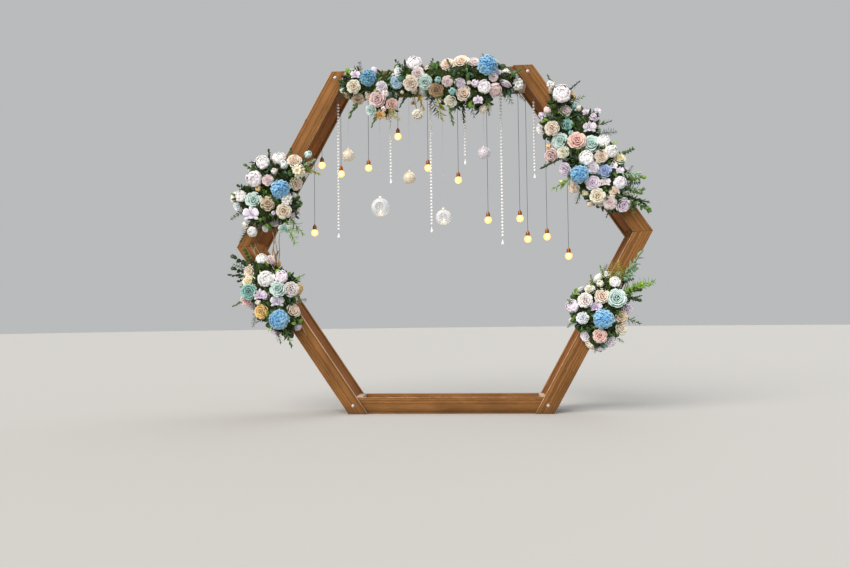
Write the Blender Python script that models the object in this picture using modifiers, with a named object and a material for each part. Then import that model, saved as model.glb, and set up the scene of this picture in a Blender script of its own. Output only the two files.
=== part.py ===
"""Hexagonal wedding arch: a six-sided timber frame, racked a little to the left, dressed with sprays of
silk flowers, strings of glass beads, glass balls and globes, and small drop lamps.

Units are metres, with X to the right, Y from the front to the back and Z up. The arch is laid out from the
middle of its bottom rails and the front face of its leg boards, and at the end it is moved as a whole, so
that its origin is the middle of its footprint.
"""
import math
from collections import namedtuple

import bmesh
import bpy
from mathutils import Matrix, Vector

# Timber frame
SIDE = 1.25
LEFT_LEAN = math.radians(34.0)
RIGHT_LEAN = math.radians(29.0)
FRAME_DEPTH = 0.290
BOARD_WIDTH = 0.100
BOARD_THICKNESS = 0.020
WEB_THICKNESS = 0.018
WEB_SETBACK = 0.012
WEB_END_GAP = 0.030
SPACER_WIDTH = 0.060
SPACER_FROM_CORNER = 0.016
GAP = 0.0003

# Silk flower sprays: each lobe is how far along its side, how far in from its outer edge, and its radius
SPRAY_MIDDLE_Y = -0.042
LOBE_FLATNESS = 0.85
LOBE_SEGMENTS = 10
LOBE_RINGS = 7
SPRAYS = {
    "upper_left": [(0.49, -0.06, 0.120), (0.29, -0.07, 0.105), (0.48, 0.04, 0.130), (0.60, 0.10, 0.100),
                   (0.28, 0.05, 0.130), (0.37, 0.15, 0.120)],
    "lower_left": [(1.03, 0.06, 0.110), (0.95, -0.03, 0.115), (0.87, 0.11, 0.120), (0.83, -0.03, 0.115),
                   (0.70, 0.00, 0.120)],
    "top": [(0.16, 0.09, 0.110), (0.30, 0.12, 0.120), (0.34, 0.23, 0.100), (0.50, 0.07, 0.120),
            (0.66, 0.09, 0.115), (0.82, 0.07, 0.120), (0.97, 0.07, 0.120), (0.77, 0.18, 0.100),
            (0.92, 0.20, 0.100), (1.09, 0.11, 0.095)],
    "upper_right": [(0.97, 0.00, 0.100), (0.86, 0.11, 0.115), (0.76, -0.03, 0.110), (0.68, 0.11, 0.120),
                    (0.56, 0.00, 0.120), (0.51, 0.13, 0.120), (0.41, 0.02, 0.120), (0.37, 0.15, 0.095),
                    (0.29, 0.08, 0.095)],
    "lower_right": [(0.84, 0.08, 0.090), (0.70, 0.15, 0.105), (0.75, 0.02, 0.115), (0.60, 0.11, 0.105),
                    (0.64, 0.00, 0.120), (0.53, 0.00, 0.105)],
}

# Hanging pieces: how far across the opening, as a share of SIDE from its middle, and the drop in metres
HOOK_RADIUS = 0.004
HOOK_LENGTH = 0.010
THREAD_RADIUS = 0.0015
WIRE_RADIUS = 0.002
STRINGS_FROM_FRONT = 0.100
BALLS_FROM_FRONT = 0.115
LAMPS_FROM_BACK = 0.090

BEAD_RADIUS = 0.008
BEADS_START = 0.030
DROP_LENGTH = 0.038
DROP_RADIUS = 0.0095
BEAD_STRINGS = [(-0.557, 0.889), (-0.289, 0.611), (-0.085, 0.926), (0.087, 0.502), (0.268, 1.010),
                (0.432, 0.514)]

NECK_RADIUS = 0.006
NECK_LENGTH = 0.012
SMALL_BALL_RADIUS = 0.040
SMALL_BALLS = [(-0.507, 0.420), (-0.196, 0.573), (0.181, 0.427)]

GLASS_THICKNESS = 0.0025
MOUTH_SHARE = 0.5
GLOBES = [(-0.345, 0.756, 0.060), (-0.026, 0.828, 0.050)]
TEALIGHT_RADIUS = 0.019
TEALIGHT_HEIGHT = 0.016
TEALIGHT_BEVEL = 0.0025

BULB_RADIUS = 0.0225
SOCKET_RADIUS = 0.0125
SOCKET_FOOT = 0.024
SOCKET_LENGTH = 0.032
LAMPS = [(-0.658, 0.170), (-0.558, 0.455), (-0.414, 0.485), (-0.260, 0.285), (-0.698, 0.519),
         (-0.106, 0.495), (0.049, 0.578), (0.198, 0.839), (0.359, 0.833), (0.397, 0.943),
         (0.494, 0.750), (0.600, 0.679)]

# How finely the round pieces are faceted
TURNED_SIDES = 10
BALL_SIDES = 14
BALL_STEPS = 8
BULB_STEPS = 5
GLOBE_SIDES = 28

# Finishes: colour, roughness
FINISHES = {
    "stained_pine": ((0.16, 0.08, 0.045), 0.6),
    "plain_pine": ((0.60, 0.45, 0.33), 0.7),
    "silk_flowers": ((0.62, 0.50, 0.55), 0.8),
    "glass_beads": ((0.75, 0.78, 0.80), 0.1),
    "glass_balls": ((0.80, 0.74, 0.66), 0.2),
    "clear_glass": ((0.72, 0.76, 0.78), 0.05),
    "drop_lamps": ((0.95, 0.62, 0.28), 0.3),
    "thread": ((0.10, 0.09, 0.09), 0.7),
    "tealight_wax": ((0.85, 0.80, 0.70), 0.5),
}

Side = namedtuple("Side", "foot climb inward")


def side_from(foot, across, lean, inward_is_right):
    """A side that climbs from its foot, leaning across (-1 left, 1 right) by its lean from upright."""
    climb = Vector((across * math.sin(lean), math.cos(lean)))
    turn = 1 if inward_is_right else -1
    return Side(foot, climb, Vector((turn * climb.y, -turn * climb.x)))


def make_sides():
    """The six sides, each from its lower or left corner."""
    level = math.radians(90.0)
    sides = {"lower_left": side_from(Vector((-SIDE / 2, 0)), -1, LEFT_LEAN, True),
             "lower_right": side_from(Vector((SIDE / 2, 0)), 1, RIGHT_LEAN, False)}
    sides["upper_left"] = side_from(end_of(sides["lower_left"]), 1, RIGHT_LEAN, True)
    sides["upper_right"] = side_from(end_of(sides["lower_right"]), -1, LEFT_LEAN, False)
    sides["top"] = side_from(end_of(sides["upper_left"]), 1, level, True)
    sides["bottom"] = side_from(Vector((-SIDE / 2, 0)), 1, level, False)
    return sides


def end_of(side):
    """The corner at the upper or right end of a side."""
    return side.foot + side.climb * SIDE


def on_side(side, along, inset):
    """A point that far along a side and that far in from its outer edge."""
    return side.foot + side.climb * along + side.inward * inset


def at_height(side, height, inset):
    """The point at a height on the line that far in from a side's outer edge."""
    start = side.foot + side.inward * inset
    return start + side.climb * ((height - start.y) / side.climb.y)


def corner(first, second, inset):
    """The point that far in from two sides, at the corner that they share."""
    ends = [(a, b) for a in (first.foot, end_of(first)) for b in (second.foot, end_of(second))]
    shared = min(ends, key=lambda pair: (pair[0] - pair[1]).length)[0]
    return shared + (first.inward + second.inward) * inset / (1 + first.inward.dot(second.inward))


SIDES = make_sides()
HEIGHT = SIDES["top"].foot.y
RAIL_FRONT = BOARD_THICKNESS + GAP
RAIL_BACK = 2 * BOARD_THICKNESS + GAP


def new_collection(name, parent):
    """A collection of its own inside another."""
    collection = bpy.data.collections.new(name)
    parent.children.link(collection)
    return collection


def finish_of(name):
    """The material of that name, made the first time it is asked for."""
    if name in bpy.data.materials:
        return bpy.data.materials[name]
    colour, roughness = FINISHES[name]
    material = bpy.data.materials.new(name)
    material.use_nodes = True
    shader = material.node_tree.nodes["Principled BSDF"]
    shader.inputs["Base Color"].default_value = (*colour, 1.0)
    shader.inputs["Roughness"].default_value = roughness
    return material


class Arch:
    """The collections and the empty that hold the arch's pieces and their cutters."""

    def __init__(self):
        scene = bpy.context.scene.collection
        self.pieces = new_collection("hexagonal_wedding_arch", scene)
        self.cutters = new_collection("cutters", scene)
        self.origin = bpy.data.objects.new("arch_origin", None)
        self.pieces.objects.link(self.origin)

    def add_piece(self, piece, finish):
        """Put a piece on the arch, in its finish."""
        piece.data.materials.clear()
        piece.data.materials.append(finish_of(finish))
        piece.parent = self.origin
        self.pieces.objects.link(piece)
        return piece

    def add_cutter(self, cutter, collection=None):
        """Keep a shape that only cuts or joins others."""
        cutter.parent = self.origin
        cutter.hide_render = True
        cutter.display_type = "WIRE"
        (collection or self.cutters).objects.link(cutter)
        return cutter


def outline_curve(name, outlines, front, back):
    """A flat shape from closed outlines in X and Z, filled and as thick as from front to back."""
    curve = bpy.data.curves.new(name, "CURVE")
    curve.dimensions = "2D"
    curve.fill_mode = "BOTH"
    curve.extrude = (back - front) / 2
    for outline in outlines:
        spline = curve.splines.new("POLY")
        spline.points.add(len(outline) - 1)
        for point, (x, z) in zip(spline.points, outline):
            point.co = (x, z, 0.0, 1.0)
        spline.use_cyclic_u = True
    shape = bpy.data.objects.new(name, curve)
    shape.location = (0.0, (front + back) / 2, 0.0)
    shape.rotation_euler = (math.radians(90.0), 0.0, 0.0)
    return shape


def turned(name, profile, sides):
    """A solid turned about its own Z axis, from radius and height pairs, top to bottom outside."""
    mesh = bpy.data.meshes.new(name)
    points = [(radius, 0.0, height) for radius, height in profile]
    mesh.from_pydata(points, [(i, i + 1) for i in range(len(points) - 1)], [])
    solid = bpy.data.objects.new(name, mesh)
    screw = solid.modifiers.new("turn", "SCREW")
    screw.steps = sides
    screw.render_steps = sides
    screw.use_merge_vertices = True
    screw.merge_threshold = GAP / 10
    screw.use_smooth_shade = True
    return solid


def arc(radius, start, end, steps, centre=0.0):
    """Radius and height pairs round a ball, by angles in degrees from straight up."""
    angles = [math.radians(start + (end - start) * i / steps) for i in range(steps + 1)]
    return [(radius * math.sin(angle), centre + radius * math.cos(angle)) for angle in angles]


def to_pole(profile):
    """The same profile with its last point exactly on the axis."""
    return profile[:-1] + [(0.0, profile[-1][1])]


def mirrored_y(front, back):
    """The same layer at the back of the frame."""
    return FRAME_DEPTH - back, FRAME_DEPTH - front


def add_leg_boards(arch):
    """Front and back boards of the four slanted sides, mitred where an upper meets a lower one."""
    layers = {"front": (0.0, BOARD_THICKNESS), "back": mirrored_y(0.0, BOARD_THICKNESS)}
    for hand in ("left", "right"):
        lower, upper = SIDES["lower_" + hand], SIDES["upper_" + hand]
        mitre = [corner(lower, upper, inset) for inset in (0.0, BOARD_WIDTH)]
        below = [point - lower.climb * GAP / 2 for point in mitre]
        above = [point + upper.climb * GAP / 2 for point in mitre]
        outlines = {
            "lower": [at_height(lower, 0.0, 0.0), below[0], below[1], at_height(lower, 0.0, BOARD_WIDTH)],
            "upper": [above[0], at_height(upper, HEIGHT, 0.0),
                      at_height(upper, HEIGHT, BOARD_WIDTH), above[1]],
        }
        for level, outline in outlines.items():
            for face, (front, back) in layers.items():
                name = "%s_%s_%s_board" % (face, level, hand)
                arch.add_piece(outline_curve(name, [outline], front, back), "stained_pine")


def add_rails(arch):
    """Front and back rails at the bottom and top, just behind the leg boards and cut along their edges."""
    left, right = SIDES["lower_left"], SIDES["lower_right"]
    bottom = [at_height(left, 0.0, 0.0), at_height(right, 0.0, 0.0),
              at_height(right, BOARD_WIDTH, 0.0), at_height(left, BOARD_WIDTH, 0.0)]
    left, right = SIDES["upper_left"], SIDES["upper_right"]
    top = [at_height(left, HEIGHT - BOARD_WIDTH, 0.0), at_height(right, HEIGHT - BOARD_WIDTH, 0.0),
           at_height(right, HEIGHT, 0.0), at_height(left, HEIGHT, 0.0)]
    layers = {"front": (RAIL_FRONT, RAIL_BACK), "back": mirrored_y(RAIL_FRONT, RAIL_BACK)}
    for level, outline in (("bottom", bottom), ("top", top)):
        for face, (front, back) in layers.items():
            name = "%s_%s_rail" % (face, level)
            arch.add_piece(outline_curve(name, [outline], front, back), "stained_pine")


def add_webs(arch):
    """The boards that close the slanted sides, square at the side corners and level at floor and top."""
    front, back = BOARD_THICKNESS + GAP, FRAME_DEPTH - BOARD_THICKNESS - GAP
    inner = BOARD_WIDTH - WEB_SETBACK
    outer = inner - WEB_THICKNESS
    for hand in ("left", "right"):
        lower, upper = SIDES["lower_" + hand], SIDES["upper_" + hand]
        vertex = corner(lower, upper, inner)
        lower_end = (vertex - lower.foot).dot(lower.climb) - WEB_END_GAP
        upper_end = (vertex - upper.foot).dot(upper.climb) + WEB_END_GAP
        foot, head = BOARD_WIDTH + GAP, HEIGHT - BOARD_WIDTH - GAP
        outlines = {
            "lower": [at_height(lower, foot, outer), on_side(lower, lower_end, outer),
                      on_side(lower, lower_end, inner), at_height(lower, foot, inner)],
            "upper": [on_side(upper, upper_end, outer), at_height(upper, head, outer),
                      at_height(upper, head, inner), on_side(upper, upper_end, inner)],
        }
        for level, outline in outlines.items():
            name = "%s_%s_web" % (level, hand)
            arch.add_piece(outline_curve(name, [outline], front, back), "stained_pine")


def rectangle(left, right, low, high):
    """An upright rectangle's outline."""
    return [(left, low), (right, low), (right, high), (left, high)]


def spacer_ends(corner_x, inwards):
    """The two X limits of a corner spacer, the nearer to the corner first."""
    near = corner_x + inwards * SPACER_FROM_CORNER
    return near, near + inwards * SPACER_WIDTH


def add_spacers_and_soffit(arch):
    """Blocks between the rails at the four corners, and the board under the top between two of them."""
    front, back = RAIL_BACK + GAP, FRAME_DEPTH - RAIL_BACK - GAP
    for level, low in (("bottom", 0.0), ("top", HEIGHT - BOARD_WIDTH)):
        for hand, inwards in (("left", 1), ("right", -1)):
            side = SIDES["upper_" + hand] if level == "top" else SIDES["lower_" + hand]
            corner_x = at_height(side, HEIGHT if level == "top" else 0.0, 0.0).x
            left, right = sorted(spacer_ends(corner_x, inwards))
            outline = rectangle(left, right, low, low + BOARD_WIDTH)
            name = "%s_%s_spacer" % (level, hand)
            arch.add_piece(outline_curve(name, [outline], front, back), "plain_pine")
    left, right = soffit_ends()
    low = HEIGHT - BOARD_WIDTH + WEB_SETBACK
    outline = rectangle(left, right, low, low + WEB_THICKNESS)
    arch.add_piece(outline_curve("top_soffit", [outline], front, back), "stained_pine")


def soffit_ends():
    """The soffit's X limits, between the top spacers."""
    left = spacer_ends(SIDES["top"].foot.x, 1)[1] + GAP
    right = spacer_ends(end_of(SIDES["top"]).x, -1)[1] - GAP
    return left, right


def frame_envelope(arch):
    """A cutter that fills the whole band of the timber frame, a gap larger than it all round."""
    order = ["bottom", "lower_left", "upper_left", "top", "upper_right", "lower_right"]
    pairs = list(zip(order, order[1:] + order[:1]))
    outlines = [[corner(SIDES[first], SIDES[second], inset) for first, second in pairs]
                for inset in (-GAP, BOARD_WIDTH + GAP)]
    flat = outline_curve("frame_envelope", outlines, -GAP, FRAME_DEPTH + GAP)
    bpy.context.scene.collection.objects.link(flat)
    graph = bpy.context.evaluated_depsgraph_get()
    mesh = bpy.data.meshes.new_from_object(flat.evaluated_get(graph))
    weld = bmesh.new()
    weld.from_mesh(mesh)
    bmesh.ops.remove_doubles(weld, verts=weld.verts, dist=GAP / 10)
    weld.to_mesh(mesh)
    weld.free()
    cutter = bpy.data.objects.new("frame_envelope", mesh)
    cutter.matrix_world = flat.matrix_world
    bpy.data.objects.remove(flat)
    return arch.add_cutter(cutter)


def lobe(name, side, along, inset, radius):
    """One ball-like lobe of a spray, a little flatter from front to back."""
    place = on_side(side, along, inset)
    flatten = Matrix.Diagonal((1, LOBE_FLATNESS, 1, 1))
    shape = Matrix.Translation((place.x, SPRAY_MIDDLE_Y, place.y)) @ flatten
    mesh = bpy.data.meshes.new(name)
    ball = bmesh.new()
    bmesh.ops.create_uvsphere(ball, u_segments=LOBE_SEGMENTS, v_segments=LOBE_RINGS,
                              radius=radius, matrix=shape)
    ball.to_mesh(mesh)
    ball.free()
    return bpy.data.objects.new(name, mesh)


def add_flower_sprays(arch):
    """One solid for each spray: its lobes in one, cut clear of the timber that they wrap."""
    envelope = frame_envelope(arch)
    for side_name, lobes in SPRAYS.items():
        name = side_name + "_flower_spray"
        side = SIDES[side_name]
        spray = arch.add_piece(lobe(name, side, *lobes[0]), "silk_flowers")
        others = new_collection(name + "_lobes", arch.cutters)
        for number, values in enumerate(lobes[1:], start=2):
            arch.add_cutter(lobe("%s_lobe_%d" % (name, number), side, *values), others)
        join = spray.modifiers.new("join lobes", "BOOLEAN")
        join.operation = "UNION"
        join.operand_type = "COLLECTION"
        join.collection = others
        cut = spray.modifiers.new("clear the timber", "BOOLEAN")
        cut.operation = "DIFFERENCE"
        cut.object = envelope


def hook_place(share, y):
    """Where a hook's flat top sits: on the lowest inner face above that place in the opening."""
    x = share * SIDE
    left, right = soffit_ends()
    under_soffit = left + HOOK_RADIUS < x < right - HOOK_RADIUS
    height = HEIGHT - BOARD_WIDTH + (WEB_SETBACK if under_soffit else 0.0) - GAP
    for side in (SIDES["upper_left"], SIDES["upper_right"]):
        face = side.foot + side.inward * (BOARD_WIDTH - WEB_SETBACK)
        slope = side.climb.y / side.climb.x
        on_face = face.y + (x - face.x) * slope
        height = min(height, on_face - HOOK_RADIUS * abs(slope) - GAP / abs(side.climb.x))
    return Vector((x, y, height))


def hook_and_thread(radius):
    """The top of every hanging piece's profile: a small hook, then the thread or wire."""
    return [(0.0, 0.0), (HOOK_RADIUS, 0.0), (HOOK_RADIUS, HOOK_RADIUS - HOOK_LENGTH), (radius, -HOOK_LENGTH)]


def hang(arch, name, profile, place, finish, sides=TURNED_SIDES):
    """A turned piece that hangs from its hook."""
    piece = turned(name, profile, sides)
    piece.location = place
    return arch.add_piece(piece, finish)


def add_bead_strings(arch):
    """Strings of glass beads as plain rods, each ending in a drop."""
    for number, (share, length) in enumerate(BEAD_STRINGS, start=1):
        drop_top = DROP_LENGTH - length
        profile = hook_and_thread(THREAD_RADIUS)
        profile += [(THREAD_RADIUS, -BEADS_START), (BEAD_RADIUS, -BEADS_START - BEAD_RADIUS),
                    (BEAD_RADIUS, drop_top + BEAD_RADIUS), (THREAD_RADIUS, drop_top),
                    (DROP_RADIUS, -length + DROP_LENGTH / 3), (0.0, -length)]
        place = hook_place(share, STRINGS_FROM_FRONT)
        hang(arch, "bead_string_%d" % number, profile, place, "glass_beads")


def add_small_balls(arch):
    """Small closed glass balls, each in one with its neck and thread."""
    for number, (share, drop) in enumerate(SMALL_BALLS, start=1):
        neck_angle = math.degrees(math.asin(NECK_RADIUS / SMALL_BALL_RADIUS))
        neck_top = -drop + SMALL_BALL_RADIUS + NECK_LENGTH
        profile = hook_and_thread(THREAD_RADIUS)
        profile += [(THREAD_RADIUS, neck_top), (NECK_RADIUS, neck_top - THREAD_RADIUS)]
        profile += to_pole(arc(SMALL_BALL_RADIUS, neck_angle, 180.0, BALL_STEPS, -drop))
        place = hook_place(share, BALLS_FROM_FRONT)
        hang(arch, "glass_ball_%d" % number, profile, place, "glass_balls", BALL_SIDES)


def add_globes(arch):
    """Large thin globes, open at the front, each with its thread and the tea light that stands in it."""
    for number, (share, drop, radius) in enumerate(GLOBES, start=1):
        hook = hook_place(share, BALLS_FROM_FRONT)
        centre = hook - Vector((0.0, 0.0, drop))
        inside = radius - GLASS_THICKNESS
        mouth = math.degrees(math.asin(MOUTH_SHARE))
        profile = to_pole(arc(inside, mouth, 180.0, GLOBE_SIDES // 2))[::-1]
        profile += to_pole(arc(radius, mouth, 180.0, GLOBE_SIDES // 2))
        globe = turned("glass_globe_%d" % number, profile, GLOBE_SIDES)
        globe.rotation_euler = (math.radians(90.0), 0.0, 0.0)
        globe.location = centre
        arch.add_piece(globe, "clear_glass")

        neck_top = radius + NECK_LENGTH
        neck_foot = radius - GLASS_THICKNESS
        mesh = bpy.data.meshes.new("globe_neck_%d" % number)
        neck = bmesh.new()
        middle = centre + Vector((0.0, 0.0, (neck_top + neck_foot) / 2))
        bmesh.ops.create_cone(neck, cap_ends=True, segments=TURNED_SIDES, radius1=NECK_RADIUS,
                              radius2=NECK_RADIUS, depth=neck_top - neck_foot,
                              matrix=Matrix.Translation(middle))
        neck.to_mesh(mesh)
        neck.free()
        join = globe.modifiers.new("join neck", "BOOLEAN")
        join.operation = "UNION"
        join.object = arch.add_cutter(bpy.data.objects.new("globe_neck_%d" % number, mesh))

        length = drop - neck_top - GAP
        profile = hook_and_thread(THREAD_RADIUS) + [(THREAD_RADIUS, -length), (0.0, -length)]
        hang(arch, "globe_thread_%d" % number, profile, hook, "thread")

        facet = math.cos(math.pi / GLOBE_SIDES) ** 2
        seat = math.sqrt((inside * facet) ** 2 - TEALIGHT_RADIUS ** 2) - GAP
        rim = TEALIGHT_RADIUS - TEALIGHT_BEVEL
        profile = [(0.0, TEALIGHT_HEIGHT), (rim, TEALIGHT_HEIGHT),
                   (TEALIGHT_RADIUS, TEALIGHT_HEIGHT - TEALIGHT_BEVEL), (TEALIGHT_RADIUS, 0.0), (0.0, 0.0)]
        place = centre - Vector((0.0, 0.0, seat))
        hang(arch, "tealight_%d" % number, profile, place, "tealight_wax", BALL_SIDES)


def add_lamps(arch):
    """Small round lamps, each in one with its socket and the wire that it hangs on."""
    for number, (share, drop) in enumerate(LAMPS, start=1):
        socket_foot = -drop + SOCKET_FOOT
        socket_top = socket_foot + SOCKET_LENGTH
        neck_angle = math.degrees(math.asin(SOCKET_RADIUS / BULB_RADIUS))
        profile = hook_and_thread(WIRE_RADIUS)
        profile += [(WIRE_RADIUS, socket_top), (SOCKET_RADIUS, socket_top - WIRE_RADIUS),
                    (SOCKET_RADIUS, socket_foot)]
        profile += to_pole(arc(BULB_RADIUS, neck_angle, 180.0, BULB_STEPS, -drop))
        place = hook_place(share, FRAME_DEPTH - LAMPS_FROM_BACK)
        hang(arch, "drop_lamp_%02d" % number, profile, place, "drop_lamps")


def centre_on_footprint(arch):
    """Move the whole arch so that the middle of its timber and flowers, seen from above, is the origin."""
    graph = bpy.context.evaluated_depsgraph_get()
    points = []
    for piece in arch.pieces.objects:
        if piece.name.endswith(("_board", "_rail", "_web", "_spacer", "_soffit", "_spray")):
            shape = piece.evaluated_get(graph)
            points += [shape.matrix_world @ vertex.co for vertex in shape.to_mesh().vertices]
            shape.to_mesh_clear()
    middle = [(min(axis) + max(axis)) / 2 for axis in zip(*points)]
    arch.origin.location = (-middle[0], -middle[1], 0.0)


def main():
    for leftover in list(bpy.data.objects):
        bpy.data.objects.remove(leftover)
    arch = Arch()
    add_leg_boards(arch)
    add_rails(arch)
    add_webs(arch)
    add_spacers_and_soffit(arch)
    add_flower_sprays(arch)
    add_bead_strings(arch)
    add_small_balls(arch)
    add_globes(arch)
    add_lamps(arch)
    centre_on_footprint(arch)


main()
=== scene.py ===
import math
import random

import bmesh
import bpy
from bpy.props import FloatProperty, FloatVectorProperty, IntProperty, PointerProperty
from mathutils import Matrix, Vector, noise
from mathutils.bvhtree import BVHTree


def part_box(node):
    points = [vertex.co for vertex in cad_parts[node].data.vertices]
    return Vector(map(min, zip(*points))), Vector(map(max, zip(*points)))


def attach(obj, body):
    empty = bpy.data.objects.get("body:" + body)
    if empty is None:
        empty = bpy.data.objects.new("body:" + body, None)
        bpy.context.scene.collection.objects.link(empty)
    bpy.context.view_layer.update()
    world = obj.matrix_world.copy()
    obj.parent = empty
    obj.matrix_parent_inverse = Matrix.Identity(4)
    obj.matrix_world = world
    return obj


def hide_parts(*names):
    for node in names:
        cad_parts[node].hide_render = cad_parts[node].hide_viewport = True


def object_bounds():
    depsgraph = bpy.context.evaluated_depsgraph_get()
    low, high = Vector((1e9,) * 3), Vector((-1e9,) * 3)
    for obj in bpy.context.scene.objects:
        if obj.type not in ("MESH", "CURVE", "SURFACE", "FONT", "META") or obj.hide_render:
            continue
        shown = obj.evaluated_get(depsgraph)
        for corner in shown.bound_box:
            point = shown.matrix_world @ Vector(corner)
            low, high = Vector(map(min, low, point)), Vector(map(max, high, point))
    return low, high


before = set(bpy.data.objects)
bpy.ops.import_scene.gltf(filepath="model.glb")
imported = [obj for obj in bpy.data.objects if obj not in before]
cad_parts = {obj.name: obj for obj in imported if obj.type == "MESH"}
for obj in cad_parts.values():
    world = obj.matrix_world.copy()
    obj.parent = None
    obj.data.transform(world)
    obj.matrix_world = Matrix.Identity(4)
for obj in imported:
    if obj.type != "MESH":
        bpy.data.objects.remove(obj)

bl_info = {
    "name": "Hexagonal wedding arch",
    "version": (1, 0, 0),
    "blender": (4, 5, 0),
    "location": "3D View > Sidebar > Wedding arch",
    "description": "Boards, silk flowers, glass beads, balls and small lamps of a hexagonal wedding arch",
    "category": "Add Mesh",
}

BODY = "root"
CAD_LOW, CAD_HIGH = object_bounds()

# The photograph's frame in pixels, and the camera that was fitted to the arch's board edges.
PHOTO_ACROSS, PHOTO_DOWN = 850, 567
SENSOR_WIDTH = 36.0
PIXELS_PER_MM = 0.162
MM_IN_A_METRE = 1000.0


# Small tools

def linear(code):
    """An sRGB hex value as linear red, green, blue and alpha."""
    parts = [int(code[i:i + 2], 16) / 255 for i in (0, 2, 4)]
    return tuple(c / 12.92 if c <= 0.04045 else ((c + 0.055) / 1.055) ** 2.4 for c in parts) + (1.0,)


def tune(material, node, settings=None, links=None):
    """Sets a node's values, ramp stops and inputs, and links inputs to another node's named output."""
    for name, value in (settings or {}).items():
        if name == "stops":
            elements = node.color_ramp.elements
            while len(elements) < len(value):
                elements.new(1.0)
            for element, (position, colour) in zip(elements, value):
                element.position = position
                element.color = linear(colour)
        elif isinstance(name, int) or name in node.inputs:
            node.inputs[name].default_value = value
        else:
            setattr(node, name, value)
    for name, (source, output) in (links or {}).items():
        material.node_tree.links.new(source.outputs[output], node.inputs[name])
    return node


def add(material, kind, settings=None, links=None):
    """Adds one shader node to a material."""
    return tune(material, material.node_tree.nodes.new("ShaderNode" + kind), settings, links)


def new_material(name):
    """A new node material and its shader."""
    material = bpy.data.materials.new(name)
    material.use_nodes = True
    return material, material.node_tree.nodes["Principled BSDF"]


def clear_selection():
    """Leaves edit mode and selects nothing."""
    if bpy.context.mode != "OBJECT":
        bpy.ops.object.mode_set(mode="OBJECT")
    bpy.ops.object.select_all(action="DESELECT")


def activate(*objects):
    """Selects these objects and makes the first one active."""
    clear_selection()
    for item in objects:
        item.select_set(True)
    bpy.context.view_layer.objects.active = objects[0]


def new_piece(name):
    """Names the object that an operator has just added, and its mesh."""
    item = bpy.context.object
    item.name = item.data.name = name
    return item


def settled_piece(name):
    """Names the object that an operator has just added, and settles it where it was put."""
    item = new_piece(name)
    settle(item)
    return item


def edit(item):
    """Opens a mesh for editing, with all its vertices selected."""
    activate(item)
    bpy.ops.object.mode_set(mode="EDIT")
    bpy.ops.mesh.select_mode(type="VERT")
    bpy.ops.mesh.select_all(action="SELECT")


def leave_edit():
    """Goes back to object mode."""
    bpy.ops.object.mode_set(mode="OBJECT")


def pick(item, test):
    """In edit mode, selects the vertices that pass the test."""
    shape = bmesh.from_edit_mesh(item.data)
    shape.normal_update()
    for vertex in shape.verts:
        vertex.select = bool(test(vertex))
    shape.select_flush(True)
    shape.select_flush(False)
    bmesh.update_edit_mesh(item.data)


def pick_ends(item, upper):
    """In edit mode, selects the level faces that face up, or down."""
    bpy.ops.mesh.select_mode(type="FACE")
    shape = bmesh.from_edit_mesh(item.data)
    for face in shape.faces:
        face.select = face.normal.z > 0.9 if upper else face.normal.z < -0.9
    shape.select_flush_mode()
    bmesh.update_edit_mesh(item.data)


def scale_by(x, y, z, middle=(0.0, 0.0, 0.0)):
    """Scales what is selected in edit mode, about a middle."""
    bpy.ops.transform.resize(value=(x, y, z), center_override=middle)


def move_by(x, y, z):
    """Moves what is selected in edit mode."""
    bpy.ops.transform.translate(value=(x, y, z))


def extrude_up(rise):
    """Extrudes the selected faces along Z."""
    bpy.ops.mesh.extrude_region_move(TRANSFORM_OT_translate={"value": (0.0, 0.0, rise)})


def face_outwards(item):
    """Merges doubles and turns every face outwards."""
    edit(item)
    bpy.ops.mesh.remove_doubles(threshold=1e-5)
    bpy.ops.mesh.normals_make_consistent(inside=False)
    leave_edit()


def apply_modifier(item, kind, **settings):
    """Adds a modifier with its settings and applies it."""
    activate(item)
    modifier = item.modifiers.new(kind.title(), kind)
    for name, value in settings.items():
        setattr(modifier, name, value)
    bpy.ops.object.modifier_apply(modifier=modifier.name)


def settle(item):
    """Puts an object's place into its mesh, so that it sits at the origin, unturned and unscaled."""
    activate(item)
    bpy.ops.object.transform_apply(location=True, rotation=True, scale=True)


def put(name, data):
    """A new object with these data, in the scene."""
    item = bpy.data.objects.new(name, data)
    bpy.context.scene.collection.objects.link(item)
    return item


def copy_of(item, matrix, name="part"):
    """A copy with its own mesh, moved by a matrix in the mesh itself."""
    mesh = item.data.copy()
    mesh.transform(matrix)
    return put(name, mesh)


def wire(name, kind, spots, radius):
    """A curve of one open spline through these spots, as a round wire of a radius."""
    data = bpy.data.curves.new(name, "CURVE")
    data.dimensions = "3D"
    data.bevel_depth = radius
    data.bevel_resolution = 2
    data.use_fill_caps = True
    spline = data.splines.new(kind)
    spline.points.add(len(spots) - 1)
    for point, spot in zip(spline.points, spots):
        point.co = (*spot, 1.0)
    return put(name, data)


def join(name, parts):
    """Joins objects into one named piece."""
    activate(*parts)
    if len(parts) > 1:
        bpy.ops.object.join()
    return new_piece(name)


def discard(*items):
    """Removes objects that were only patterns for others."""
    for item in items:
        bpy.data.objects.remove(item, do_unlink=True)


def coat(item, *materials):
    """Gives a piece its material slots."""
    item.data.materials.clear()
    for material in materials:
        item.data.materials.append(material)


def smooth(item, degrees=40):
    """Shades a piece smooth, with creases where it turns by more than these degrees."""
    activate(item)
    bpy.ops.object.shade_smooth_by_angle(angle=math.radians(degrees))


def place(item, slot_name, *nodes):
    """Rides a finished piece on the arch and hides the nodes that it stands for; its slot name is not used.
    """
    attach(item, BODY)
    if nodes:
        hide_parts(*nodes)
    return item


def at(x, y, z):
    """The move to a place."""
    return Matrix.Translation(Vector((x, y, z)))


def facing(direction, spin=0.0):
    """The turn that takes the Z axis to a direction, after a spin about Z."""
    turn = Vector(direction).normalized().to_track_quat("Z", "Y").to_matrix().to_4x4()
    return turn @ Matrix.Rotation(spin, 4, "Z")


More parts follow.
